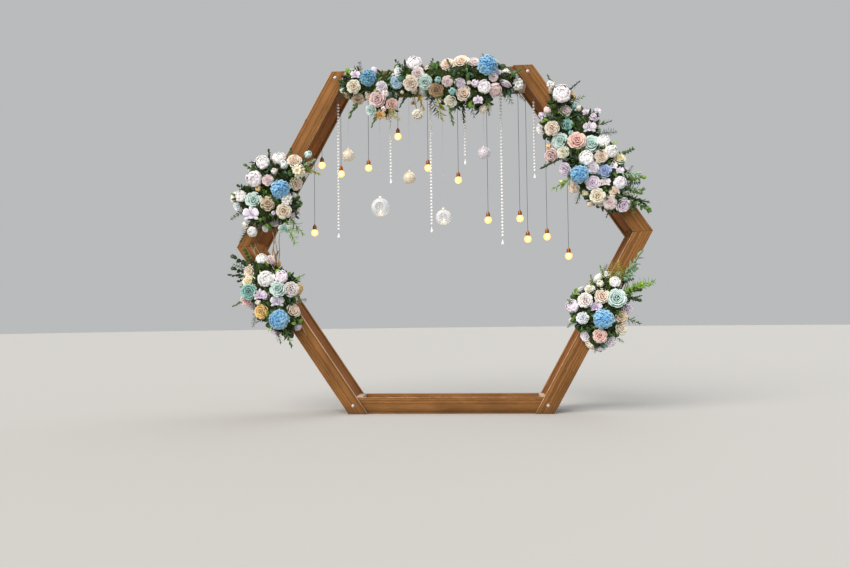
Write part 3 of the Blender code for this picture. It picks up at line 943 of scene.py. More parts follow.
def ball(name, segments, rings, radius):
    """A sphere round the origin."""
    clear_selection()
    bpy.ops.mesh.primitive_uv_sphere_add(segments=segments, ring_count=rings, radius=radius)
    return new_piece(name)


def wire_ring(segments, radius, wire, middle, tilt=0):
    """A ring of wire round the Z axis with its middle at a height, tilted about X by degrees."""
    clear_selection()
    bpy.ops.mesh.primitive_torus_add(major_segments=segments, minor_segments=8, major_radius=radius,
                                     minor_radius=wire, location=(0, 0, middle),
                                     rotation=(math.radians(tilt), 0, 0))
    return settled_piece("ring")


def screw_eye():
    """A screw eye with its top at the origin: a threaded shank, a collar and a closed wire ring."""
    shank = cylinder("shank", 12, SHANK_RADIUS, SHANK_LENGTH, -SHANK_LENGTH / 2)
    collar = cylinder("collar", 16, COLLAR_RADIUS, COLLAR_DEPTH, COLLAR_MIDDLE)
    apply_modifier(collar, "BEVEL", width=0.0002, segments=2, limit_method="ANGLE")
    eye = join("screw_eye", [shank, collar, wire_ring(20, EYE_RADIUS, EYE_WIRE, EYE_MIDDLE, 90)])
    face_outwards(eye)
    coat(eye, zinc_steel())
    smooth(eye, 40)
    return eye


def hang(name, node, run, diameter, material, slot_name):
    x, y, top, _ = middle_of(node)
    start = (x, y, top - HOOK_DROP)
    end = Vector((x, y, top - HOOK_DROP - run))
    stretches = 16
    line = wire(name, "POLY", [Vector(start).lerp(end, step / stretches) for step in range(stretches + 1)],
                diameter / 2)
    line.data.materials.append(material)
    place(line, slot_name, node)


def faceted_bead(radius):
    """A pressed glass bead: eighty flat facets, its ends flattened a little."""
    clear_selection()
    bpy.ops.mesh.primitive_ico_sphere_add(subdivisions=2, radius=radius)
    bead = new_piece("bead")
    edit(bead)
    pick(bead, lambda vertex: abs(vertex.co.z) > radius * 0.86)
    scale_by(1.0, 1.0, 0.94)
    leave_edit()
    return bead


DROP_LENGTH, DROP_RADIUS = 0.038, 0.0095
# The drop's foot below its cone: each ring's depth over the drop's length, and how it widens or narrows
DROP_FOOT = ((0.14, 1.28), (0.14, 0.80), (0.10, 0.35))


def faceted_drop(length, radius):
    """A pressed glass drop with its point at the origin and its round foot below."""
    cone_length = length * (1.0 - sum(depth for depth, _ in DROP_FOOT))
    clear_selection()
    bpy.ops.mesh.primitive_cone_add(vertices=9, radius1=radius * 0.78, radius2=0.0006, depth=cone_length,
                                    location=(0, 0, -cone_length / 2))
    drop = settled_piece("drop")
    edit(drop)
    pick_ends(drop, upper=False)
    for depth, widening in DROP_FOOT:
        extrude_up(-length * depth)
        scale_by(widening, widening, 1.0)
    leave_edit()
    return drop


BEAD_STRINGS = 6
# From the screw eye down to the first bead, and from the drop's tip to the end of the thread in it
FIRST_BEAD, INTO_DROP = 0.022, 0.010


def add_bead_strings(pendants):
    """Faceted beads on a thread under a screw eye, ending in a drop."""
    bead, drop, eye = faceted_bead(pendants.bead_radius), faceted_drop(DROP_LENGTH, DROP_RADIUS), screw_eye()
    for number in range(1, BEAD_STRINGS + 1):
        node = f"bead_string_{number}"
        x, y, top, low = middle_of(node)
        draws = random.Random(number)
        drop_top = low + DROP_LENGTH
        first = top - HOOK_DROP - FIRST_BEAD
        count = int((first - drop_top - pendants.bead_radius) / pendants.bead_spacing) + 1
        beads = [copy_of(bead, at(x, y, first - place_down * pendants.bead_spacing)
                         @ Matrix.Rotation(draws.uniform(0, 6.28), 4, "Z")
                         @ Matrix.Rotation(draws.uniform(-0.12, 0.12), 4, "X"))
                 for place_down in range(count)]
        string = join(f"{node}_beads", [*beads, copy_of(drop, at(x, y, drop_top))])
        coat(string, cut_glass_painted_reflection())
        place(string, "glass_beads")
        place(copy_of(eye, at(x, y, top), f"{node}_eye"), "thread")
        hang(f"{node}_thread", node, top - HOOK_DROP - drop_top + INTO_DROP, pendants.thread, nylon_thread(),
             "thread")
    discard(bead, drop, eye)


SMALL_BALL_RADIUS = 0.040
NECK_RADIUS, NECK_LENGTH, NECK_SUNK = 0.006, 0.012, 0.0006
CREAM_BALL = ("cream crackle glass", "F0E0BE", "FFFBF0")
BALL_GLASS = (CREAM_BALL, CREAM_BALL, ("lilac crackle glass", "E2DAE8", "FDFBFF"))


def glass_neck(radius, ball_radius):
    """The short hollow neck on a glass ball, flared at its foot, which is sunk a little into the ball."""
    top = ball_radius + NECK_LENGTH - NECK_SUNK
    neck = cylinder("neck", 24, radius, NECK_LENGTH, top - NECK_LENGTH / 2)
    edit(neck)
    pick_ends(neck, upper=True)
    bpy.ops.mesh.inset(thickness=radius * 0.30, depth=0.0)
    extrude_up(-NECK_LENGTH * 0.4)
    pick(neck, lambda vertex: vertex.co.z < top - NECK_LENGTH * 0.9)
    scale_by(1.5, 1.5, 1.0, (0.0, 0.0, top - NECK_LENGTH))
    leave_edit()
    apply_modifier(neck, "BEVEL", width=radius * 0.12, segments=3, limit_method="ANGLE")
    return neck


def add_small_balls(pendants):
    """Three closed crackle glass balls, each with a neck and a thread that runs down into it."""
    eye = screw_eye()
    for number, glass in enumerate(BALL_GLASS, 1):
        node = f"glass_ball_{number}"
        x, y, top, low = middle_of(node)
        body = ball("ball", 64, 32, SMALL_BALL_RADIUS)
        # The glass is blown by hand, so it is out of round by half a millimetre.
        for vertex in body.data.vertices:
            swell = noise.noise(vertex.co * 22.0 + Vector((number * 7.0, 0, 0)))
            vertex.co *= 1.0 + 0.012 * swell
        body = join(f"{node}_glass", [body, glass_neck(NECK_RADIUS, SMALL_BALL_RADIUS)])
        face_outwards(body)
        body.data.transform(at(x, y, low + SMALL_BALL_RADIUS))
        smooth(body, 50)
        coat(body, crackle_glass(*glass))
        place(body, "glass_balls")
        place(copy_of(eye, at(x, y, top), f"{node}_eye"), "thread")
        hang(f"{node}_thread", node, top - HOOK_DROP - (low + SMALL_BALL_RADIUS), pendants.thread,
             nylon_thread(), "thread")
    discard(eye)


GLOBES = ((1, 0.060), (2, 0.050))
GLOBE_NECK_RADIUS = 0.0075
MOUTH_SHARE = 0.5
# The knot's middle above the top of a globe's neck
KNOT_HEIGHT = 0.0040


def open_globe(radius, wall):
    """A blown globe whose mouth faces the front, with a rounded lip."""
    clear_selection()
    bpy.ops.mesh.primitive_uv_sphere_add(segments=64, ring_count=48, radius=radius,
                                         rotation=(math.radians(90), 0, 0))
    globe = settled_piece("globe")
    edit(globe)
    mouth = -radius * math.sqrt(1 - MOUTH_SHARE ** 2)
    bpy.ops.mesh.bisect(plane_co=(0.0, mouth, 0.0), plane_no=(0.0, -1.0, 0.0), clear_outer=True)
    leave_edit()
    face_outwards(globe)
    apply_modifier(globe, "SOLIDIFY", thickness=wall, offset=-1.0)
    apply_modifier(globe, "BEVEL", width=wall * 0.35, segments=3, limit_method="ANGLE",
                   angle_limit=math.radians(50))
    return globe


def neck_loop(top):
    """The wire loop and small collar that hold a globe by its neck, and the thread's knot in the loop."""
    rings = []
    for major, minor, height, tilt, finish in (
            (0.0036, 0.0008, 0.0010, 90, zinc_steel()),
            (GLOBE_NECK_RADIUS + 0.0004, 0.0008, -0.0045, 0, zinc_steel()),
            (0.0021, 0.0016, 0.0062, 25, nylon_thread())):
        rings.append(wire_ring(24, major, minor, top + height, tilt))
        coat(rings[-1], finish)
    holder = join("holder", rings)
    face_outwards(holder)
    smooth(holder, 50)
    return holder


# Where the wick leaves the wax, over the cup's height
WICK_FOOT = 0.62
WICK_RADIUS, WICK_LENGTH = 0.0008, 0.009
FLAME_RADIUS, FLAME_HEIGHT = 0.0055, 0.024
# A flame narrows from each share of its height upwards, by this factor
FLAME_TAPER = ((0.30, 0.86), (0.55, 0.76), (0.80, 0.62))


def tealight_cup(radius, height):
    """The milky cup, with a rounded rim."""
    cup = cylinder("cup", 48, radius, height, height / 2)
    edit(cup)
    pick_ends(cup, upper=True)
    bpy.ops.mesh.inset(thickness=0.0006, depth=0.0)
    extrude_up(-height * 0.24)
    leave_edit()
    apply_modifier(cup, "BEVEL", width=0.0002, segments=2, limit_method="ANGLE")
    coat(cup, candle_cup_painted_glow())
    return cup


def tealight_wax(radius, height):
    """The wax, which has melted once, so it dips round the wick and climbs a little up the cup."""
    wax = cylinder("wax", 48, radius - 0.0007, height * 0.62, height * 0.45)
    edit(wax)
    pick_ends(wax, upper=True)
    for share in (0.12, 0.30, 0.55):
        bpy.ops.mesh.inset(thickness=radius * share * 0.5, depth=-height * 0.035)
    leave_edit()
    coat(wax, candle_wax_painted_glow())
    return wax


def tealight_wick(height):
    """The wick, bent over at its top."""
    wick = cylinder("wick", 10, WICK_RADIUS, WICK_LENGTH, height * WICK_FOOT + WICK_LENGTH / 2)
    edit(wick)
    pick(wick, lambda vertex: vertex.co.z > height * WICK_FOOT + 0.006)
    move_by(0.0016, 0.0, -0.0005)
    leave_edit()
    coat(wick, wick_cotton())
    return wick


def tealight_flame(height):
    """The flame, drawn up to a point and fullest low down."""
    flame = ball("flame", 20, 14, FLAME_RADIUS)
    edit(flame)
    pick(flame, lambda vertex: vertex.co.z > -0.0001)
    scale_by(1.0, 1.0, FLAME_HEIGHT / FLAME_RADIUS - 1.0)
    for share, narrowing in FLAME_TAPER:
        pick(flame, lambda vertex: vertex.co.z > (FLAME_HEIGHT - FLAME_RADIUS) * share)
        scale_by(narrowing, narrowing, 1.0)
    bpy.ops.mesh.select_all(action="SELECT")
    move_by(0.0012, 0.0, height * WICK_FOOT + 0.004 + FLAME_RADIUS)
    leave_edit()
    coat(flame, candle_flame())
    return flame


def tea_light(name, node):
    """A tea light in the place of a node: its cup, sunken wax, wick and flame."""
    low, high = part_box(node)
    radius, height = (high.x - low.x) / 2, high.z - low.z
    light = join(name, [tealight_cup(radius, height), tealight_wax(radius, height), tealight_wick(height),
                        tealight_flame(height)])
    smooth(light, 35)
    light.data.transform(at((low.x + high.x) / 2, (low.y + high.y) / 2, low.z))
    place(light, "tealight_wax", node)


def add_globes(pendants):
    """Two open glass globes, each on a thread, with a tea light on its floor."""
    eye = screw_eye()
    for number, radius in GLOBES:
        node, thread_node = f"glass_globe_{number}", f"globe_thread_{number}"
        x, y, top, _ = middle_of(thread_node)
        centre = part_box(node)[0].z + radius
        globe = open_globe(radius, pendants.wall)
        coat(globe, blown_glass_painted_reflection())
        neck = glass_neck(GLOBE_NECK_RADIUS, radius)
        coat(neck, ground_glass())
        glass = join(f"{node}_glass", [globe, neck])
        glass.data.transform(at(x, y, centre))
        smooth(glass, 50)
        place(glass, "clear_glass", node)
        holder = neck_loop(radius + NECK_LENGTH)
        holder.name = holder.data.name = f"{node}_loop"
        holder.data.transform(at(x, y, centre))
        place(holder, "thread")
        place(copy_of(eye, at(x, y, top), f"{node}_eye"), "thread")
        run = top - HOOK_DROP - (centre + radius + NECK_LENGTH + KNOT_HEIGHT)
        hang(f"{thread_node}_line", thread_node, run, pendants.thread, nylon_thread(), "thread")
        tea_light(f"tealight_{number}_candle", f"tealight_{number}")
    discard(eye)


LAMPS = 12
BULB_RADIUS = 0.0225
# Where the bulb starts to draw in to its throat, and where its core draws up to the holder
THROAT, STALK = BULB_RADIUS * 0.78, BULB_RADIUS * 0.40
SOCKET_RADIUS, SOCKET_FOOT, SOCKET_LENGTH = 0.0125, 0.024, 0.032
SKIRT_FOOT = SOCKET_FOOT - 0.006
INTO_SOCKET = 0.022


def lamp_bulb():
    """A round bulb with its middle at the origin, drawn in to a throat where it enters its holder."""
    bulb = ball("bulb", 40, 24, BULB_RADIUS)
    edit(bulb)
    pick(bulb, lambda vertex: vertex.co.z > THROAT)
    scale_by(1.0, 1.0, 1.30, (0.0, 0.0, THROAT))
    leave_edit()
    coat(bulb, lamp_glass())
    core = ball("core", 24, 16, BULB_RADIUS * 0.52)
    edit(core)
    pick(core, lambda vertex: vertex.co.z > STALK)
    move_by(0.0, 0.0, BULB_RADIUS * 0.35)
    leave_edit()
    coat(core, lamp_core())
    bulb = join("bulb", [bulb, core])
    smooth(bulb, 60)
    return bulb


def lamp_holder():
    """The turned holder above a bulb: a skirt hollow below, two raised rings, a shoulder and a flex grip."""
    holder = cylinder("holder", 32, SOCKET_RADIUS, SOCKET_LENGTH * 0.70, SKIRT_FOOT + SOCKET_LENGTH * 0.35)
    edit(holder)
    # The shoulder narrows in two steps to the grip round the flex.
    pick_ends(holder, upper=True)
    bpy.ops.mesh.inset(thickness=0.0018, depth=0.0022)
    extrude_up(SOCKET_LENGTH * 0.10)
    bpy.ops.mesh.inset(thickness=SOCKET_RADIUS * 0.42, depth=0.0010)
    extrude_up(SOCKET_LENGTH * 0.22)
    # The skirt is hollow where the bulb goes in.
    pick_ends(holder, upper=False)
    bpy.ops.mesh.inset(thickness=0.0012, depth=0.0)
    extrude_up(0.007)
    leave_edit()
    apply_modifier(holder, "BEVEL", width=0.0005, segments=2, limit_method="ANGLE")
    rings = [wire_ring(32, SOCKET_RADIUS, 0.0007, SKIRT_FOOT + height) for height in (0.004, 0.010)]
    holder = join("holder", [holder, *rings])
    face_outwards(holder)
    smooth(holder, 40)
    coat(holder, socket_metal())
    return holder


def add_lamps(pendants):
    """Twelve small round lamps in copper holders, each hanging on a dark flex."""
    eye, bulb, holder = screw_eye(), lamp_bulb(), lamp_holder()
    for number in range(1, LAMPS + 1):
        node = f"drop_lamp_{number:02d}"
        x, y, top, low = middle_of(node)
        centre = low + BULB_RADIUS
        lamp = join(f"{node}_bulb_and_holder", [copy_of(holder, at(x, y, centre)),
                                                copy_of(bulb, at(x, y, centre))])
        place(lamp, "drop_lamps")
        place(copy_of(eye, at(x, y, top), f"{node}_eye"), "thread")
        run = top - HOOK_DROP - (centre + SOCKET_FOOT + SOCKET_LENGTH - INTO_SOCKET)
        hang(f"{node}_flex", node, run, pendants.flex, lamp_flex(), "drop_lamps")
    discard(eye, bulb, holder)


class WEDDING_OT_bead_strings(bpy.types.Operator):
    """Adds the strings of faceted glass beads"""
    bl_idname = "wedding.add_bead_strings"
    bl_label = "Bead strings"

    def execute(self, context):
        add_bead_strings(context.scene.wedding_pendants)
        return {"FINISHED"}


class WEDDING_OT_small_balls(bpy.types.Operator):
    """Adds the small crackle glass balls"""
    bl_idname = "wedding.add_small_balls"
    bl_label = "Small glass balls"

    def execute(self, context):
        add_small_balls(context.scene.wedding_pendants)
        return {"FINISHED"}


class WEDDING_OT_globes(bpy.types.Operator):
    """Adds the open glass globes and their tea lights"""
    bl_idname = "wedding.add_globes"
    bl_label = "Glass globes and tea lights"

    def execute(self, context):
        add_globes(context.scene.wedding_pendants)
        return {"FINISHED"}


class WEDDING_OT_lamps(bpy.types.Operator):
    """Adds the small hanging lamps"""
    bl_idname = "wedding.add_lamps"
    bl_label = "Hanging lamps"

    def execute(self, context):
        add_lamps(context.scene.wedding_pendants)
        return {"FINISHED"}


# Silk flowers, modelled one unit in radius with their foot at the origin

# Petals and leaves by rows: how far along, half the width, the lift, and how far the sides cup up
ROSE_PETAL = ((0.00, 0.16, 0.00, 0.02), (0.32, 0.40, -0.06, 0.10), (0.64, 0.52, -0.05, 0.15),
              (0.88, 0.46, 0.01, 0.10), (0.98, 0.26, -0.06, 0.00))
PEONY_PETAL = ((0.00, 0.20, 0.00, 0.03), (0.30, 0.46, -0.16, 0.12), (0.62, 0.58, -0.16, 0.18),
               (0.88, 0.48, 0.02, 0.14), (1.00, 0.24, 0.20, 0.05))
BUD_PETAL = ((0.00, 0.18, 0.00, 0.05), (0.35, 0.42, -0.10, 0.20), (0.72, 0.38, -0.04, 0.20),
             (1.00, 0.12, 0.12, 0.06))
FLORET_PETAL = ((0.00, 0.10, 0.00, 0.00), (0.55, 0.42, 0.05, 0.05), (1.00, 0.20, -0.02, 0.00))
SEPAL = ((0.00, 0.08, 0.00, 0.00), (0.40, 0.24, 0.04, 0.03), (0.75, 0.20, 0.05, 0.03),
         (1.00, 0.03, 0.00, 0.00))
BROAD_PETAL = ((0.00, 0.10, 0.00, 0.00), (0.40, 0.46, 0.04, 0.05), (0.75, 0.50, 0.06, 0.03),
               (0.98, 0.26, 0.00, 0.00))
LANCE_LEAF = ((0.00, 0.02, 0.00, 0.00), (0.18, 0.11, 0.03, 0.04), (0.42, 0.17, 0.07, 0.05),
              (0.68, 0.14, 0.07, 0.04), (0.88, 0.07, 0.03, 0.02), (1.00, 0.01, -0.02, 0.00))
ROUND_LEAF = ((0.00, 0.05, 0.00, 0.00), (0.28, 0.32, 0.04, 0.05), (0.62, 0.38, 0.06, 0.06),
              (0.90, 0.22, 0.02, 0.02), (1.00, 0.06, -0.01, 0.00))

# Whorls of petals: how many, their lean in degrees, size, distance out and up, and tint at foot and tip
ROSE = ((3, 86, 0.58, 0.05, 0.16, 0.05, 0.50), (4, 79, 0.68, 0.12, 0.12, 0.15, 0.72),
        (5, 69, 0.76, 0.18, 0.08, 0.35, 0.92), (5, 52, 0.82, 0.22, 0.03, 0.60, 1.00),
        (6, 30, 0.84, 0.22, 0.00, 0.75, 1.00))
PEONY = ((3, 92, 0.66, 0.02, 0.14, 0.40, 0.80), (4, 90, 0.74, 0.09, 0.10, 0.50, 0.90),
         (5, 86, 0.80, 0.17, 0.06, 0.60, 1.00), (6, 78, 0.84, 0.24, 0.02, 0.65, 1.00),
         (7, 62, 0.80, 0.26, 0.00, 0.65, 1.00))
BUD = ((3, 88, 0.95, 0.10, 0.05, 0.00, 0.60), (4, 80, 1.00, 0.16, 0.00, 0.35, 1.00))
FLORETS_ON_HYDRANGEA = 72
FLORETS_IN_CLUSTER = 8


def petal(name, rows, columns):
    """A petal or leaf along Y: the rows of a grid are narrowed, set out, lifted and cupped in turn."""
    far = 10.0
    clear_selection()
    bpy.ops.mesh.primitive_grid_add(x_subdivisions=columns, y_subdivisions=len(rows) - 1, size=2.0,
                                    location=(0.0, far, 0.0))
    item = settled_piece(name)
    levels = sorted({round(vertex.co.y, 3) for vertex in item.data.vertices})
    if len(levels) != len(rows):
        raise RuntimeError(f"{name}: the grid has {len(levels)} rows, not {len(rows)}")
    edit(item)
    for level, (along, width, lift, cup) in zip(levels, rows):
        pick(item, lambda vertex: abs(vertex.co.y - level) < 0.01)
        scale_by(width, 1.0, 1.0, (0.0, level, 0.0))
        move_by(0.0, along - level, lift)
        pick(item, lambda vertex: vertex.select and abs(vertex.co.x) > width * 0.6)
        move_by(0.0, 0.0, cup)
    leave_edit()
    return item


def set_tint(item, tints):
    """Gives each point its tint: 0 at the core's dye, 1 at the rim's, and below 0 for what stays green."""
    item.data.attributes.new("tint", "FLOAT", "POINT").data.foreach_set("value", tints)


def tinted_copy(item, matrix, core, rim):
    """A copy of a petal whose tint goes from its core value at the foot to its rim value at the tip."""
    tints = [core + (rim - core) * min(1.0, max(0.0, vertex.co.y)) for vertex in item.data.vertices]
    copy = copy_of(item, matrix)
    set_tint(copy, tints)
    return copy


def round_about(turn, out, lift, lean, size):
    """The place of a petal round the Z axis: turned, set out and up, leaning back by degrees, and scaled."""
    return Matrix.Rotation(turn, 4, "Z") @ at(0.0, out, lift) @ tilt(lean) @ Matrix.Scale(size, 4)


def whorled(name, petal_item, whorls, draws):
    """A flower of petals set in whorls, each a little off its place."""
    petals = []
    for number, (count, lean, size, out, lift, core, rim) in enumerate(whorls):
        for step in range(count):
            turn = math.tau * (step + 0.5 * (number % 2)) / count + draws.uniform(-0.12, 0.12)
            place_round = round_about(turn, out, lift, lean + draws.uniform(-5.0, 5.0),
                                      size * draws.uniform(0.93, 1.05))
            petals.append(tinted_copy(petal_item, place_round, core, rim))
    return join(name, petals)


def thicken(item, thickness, ruffle=0.0, seed=0):
    """Ruffles the petals a little and gives them their thickness."""
    if ruffle:
        edit(item)
        bpy.ops.transform.vertex_random(offset=ruffle, uniform=0.5, normal=0.5, seed=seed)
        leave_edit()
    apply_modifier(item, "SOLIDIFY", thickness=thickness, offset=0.0)
    activate(item)
    bpy.ops.object.shade_smooth()
    return item


def knob(radius, height, tint_value, flatten=0.8):
    """A small round heart, as in the middle of a floret."""
    clear_selection()
    bpy.ops.mesh.primitive_ico_sphere_add(subdivisions=1, radius=radius, location=(0.0, 0.0, height))
    heart = new_piece("heart")
    heart.data.transform(Matrix.Scale(flatten, 4, (0, 0, 1)))
    settle(heart)
    set_tint(heart, [tint_value] * len(heart.data.vertices))
    return heart


def floret(petal_item, count, lean, thickness):
    """A tiny flat flower of a few petals round a heart."""
    flat = whorled("floret", petal_item, ((count, lean, 0.92, 0.08, 0.0, 0.35, 1.0),), random.Random(5))
    return join("floret", [thicken(flat, thickness), knob(0.13, 0.05, 0.0)])


# The tint of what stays green on a flower
GREEN_TINT = -1.0


def with_calyx(flower, sepal_item, lean, thickness):
    """A flower with five green sepals and their swelling under it, tinted apart from its petals."""
    sepals = [tinted_copy(sepal_item, round_about(math.tau * step / 5, 0.08, -0.03, lean, 0.52),
                          GREEN_TINT, GREEN_TINT) for step in range(5)]
    green = thicken(join("sepals", sepals), thickness)
    return join(flower.name, [flower, green, knob(0.15, -0.03, GREEN_TINT, 1.0)])


def dome_points(count, reach):
    """Evenly spread directions over a dome that goes reach of the way from its top to its bottom."""
    golden = math.pi * (3.0 - math.sqrt(5.0))
    for number in range(count):
        height = 1.0 - 2.0 * reach * (number + 0.5) / count
        ring = math.sqrt(max(0.0, 1.0 - height * height))
        yield Vector((math.cos(golden * number) * ring, math.sin(golden * number) * ring, height))


def domed(name, one, count, reach, radius, centre, scale, draws):
    """A head of many florets turned outwards over a dome."""
    florets = []
    for way in dome_points(count, reach):
        size = scale * draws.uniform(0.88, 1.12)
        spot = Vector((0, 0, centre)) + way * radius * draws.uniform(0.88, 1.08)
        towards = way + stray(draws, 0.38)
        copy = copy_of(one, at(*spot) @ facing(towards, draws.uniform(0, math.tau)) @ Matrix.Scale(size, 4))
        # Florets are deepest in the middle of the head, and paler down its sides.
        fade = (1.0 - way.z) * 0.50 + draws.uniform(-0.30, 0.15)
        for tint in copy.data.attributes["tint"].data:
            tint.value = min(1.0, max(0.0, tint.value * 0.55 + fade))
        florets.append(copy)
    return join(name, florets)


def make_flowers(sprays):
    """One flower of each kind, to be copied."""
    thin, thick = sprays.petal, 0.05
    rose_petal, peony_petal = petal("rose petal", ROSE_PETAL, 4), petal("peony petal", PEONY_PETAL, 3)
    bud_petal, floret_petal = petal("bud petal", BUD_PETAL, 4), petal("floret petal", FLORET_PETAL, 2)
    sepal, broad = petal("sepal", SEPAL, 2), petal("broad petal", BROAD_PETAL, 4)
    flowers = {}
    for number, (kind, one, whorls, ruffle, lean) in enumerate((
            ("rose", rose_petal, ROSE, 0.022, 12), ("peony", peony_petal, PEONY, 0.010, 42),
            ("bud", bud_petal, BUD, 0.010, 62)), 1):
        flower = thicken(whorled(kind, one, whorls, random.Random(number)), thin, ruffle, number + 2)
        flowers[kind] = with_calyx(flower, sepal, lean, thin)
    four, five = floret(floret_petal, 4, 8, thick), floret(floret_petal, 5, 22, thick)
    flowers["hydrangea"] = domed("hydrangea", four, FLORETS_ON_HYDRANGEA, 0.62, 0.74, 0.34, 0.33,
                                 random.Random(4))
    flowers["cluster"] = domed("cluster", five, FLORETS_IN_CLUSTER, 0.45, 0.55, 0.25, 0.46, random.Random(6))
    # An orchid has three narrow sepals, two broad petals and a cupped lip with a dark throat.
    parts = [tinted_copy(item, round_about(math.radians(turn), out, lift, lean, size), core, rim)
             for item, turns, out, lift, lean, size, core, rim in (
                 (sepal, (0, 125, 235), 0.05, 0.16, 12, 0.92, 0.3, 1.0),
                 (broad, (68, -68), 0.05, 0.20, 16, 0.90, 0.4, 1.0),
                 (rose_petal, (180,), 0.04, 0.20, 30, 0.48, 0.0, 0.25),
                 (rose_petal, (95, -95), 0.04, 0.20, 70, 0.32, 0.0, 0.25))
             for turn in turns]
    flowers["orchid"] = thicken(join("orchid", parts), thin, 0.012, 6)
    discard(rose_petal, peony_petal, bud_petal, floret_petal, sepal, broad, four, five)
    return flowers


def stem_between(start, end, radius):
    """A thin six-sided stem from one point to another."""
    clear_selection()
    bpy.ops.mesh.primitive_cylinder_add(vertices=6, radius=radius, depth=(end - start).length)
    stem = new_piece("stem")
    stem.data.transform(at(*((start + end) / 2)) @ facing(end - start))
    return stem


def sprig(name, leaf, count, leaf_size, lean, pairs, start=0.2, droop=0.10):
    """Leaves along a drooping stem one unit long that points along Z; they shorten towards its tip."""
    draws = random.Random(count)
    parts = []
    for number in range(count):
        share = start + (1.0 - start) * (number + 1) / count
        bend = droop * share * share
        size = leaf_size * (1.0 - 0.45 * share) * draws.uniform(0.85, 1.15)
        for side in (0.0, math.pi) if pairs else ((number % 2) * math.pi,):
            turn = side + draws.uniform(-0.5, 0.5)
            parts.append(copy_of(leaf, at(0.0, -bend, share * 0.96) @ Matrix.Rotation(turn, 4, "Z")
                                 @ tilt(lean + draws.uniform(-12, 12)) @ Matrix.Scale(size, 4)))
    parts.append(copy_of(leaf, at(0.0, -droop, 0.94) @ tilt(80) @ Matrix.Scale(leaf_size * 0.6, 4)))
    points = [Vector((0.0, -droop * share * share, share * 0.96)) for share in (0.0, 0.25, 0.5, 0.75, 1.0)]
    parts += [stem_between(foot, tip, 0.011) for foot, tip in zip(points, points[1:])]
    return join(name, parts)


def make_greens():
    """The single leaves and the sprigs, to be copied."""
    lance = thicken(petal("lance leaf", LANCE_LEAF, 2), 0.02)
    rounded = thicken(petal("round leaf", ROUND_LEAF, 2), 0.02)
    return {
        "lance": lance,
        "round": rounded,
        "lance_sprig": sprig("lance sprig", lance, 8, 0.46, 42, False),
        "fern": sprig("fern", lance, 11, 0.34, 28, True, start=0.1, droop=0.16),
        "euca": sprig("eucalyptus sprig", rounded, 6, 0.30, 36, True, droop=0.12),
        "broad_sprig": sprig("broad leaf sprig", rounded, 7, 0.44, 40, False),
    }


# Dyes, as the rim and the core of a flower; what is made of each is a mix of the two
DYES = {
    "lilac_white": ("FBF6FF", "EADDF5"), "lilac": ("F6EBFA", "D8BFE4"), "pale_pink": ("FFFBFA", "FCE4E2"),
    "pink": ("FFEEED", "F3C0C4"), "dusty_pink": ("F3D9D7", "CC969C"), "coral": ("FDDACF", "E8958A"),
    "peach": ("FFF2E3", "FAC59A"), "peach_cream": ("FFF5E2", "F6BE7E"), "cream": ("FFFBEC", "F2DEAC"),
    "orange": ("FCD99C", "E89A40"), "mustard": ("F3CF86", "C89240"), "yellow": ("FFF8D8", "F6D88C"),
    "mint": ("E0F5EF", "70B6B0"), "teal": ("9CD1C9", "2A7D7C"), "pale_blue": ("FAFDFF", "CCE8FA"),
    "blue": ("D0EDFE", "6CB5F2"), "sky": ("B8EAFE", "188EDC"), "deep_sky": ("94D0E4", "1672A6"),
    "periwinkle": ("B2C6ED", "5E7DC5"), "taupe": ("E7D3B8", "AA835A"), "brown": ("C9A883", "7D5133"),
    "white": ("FFFFFE", "F6F8F0"),
}
LEAF_DYES = {
    "dark": "26401C", "deep": "1B3016", "mid": "456A2B", "bright": "7DA63A", "lit": "B8B84A",
    "yellow": "CDB24C", "sage": "8BA287", "blue_green": "4F7A68", "mint_leaf": "A9CDB4",
}


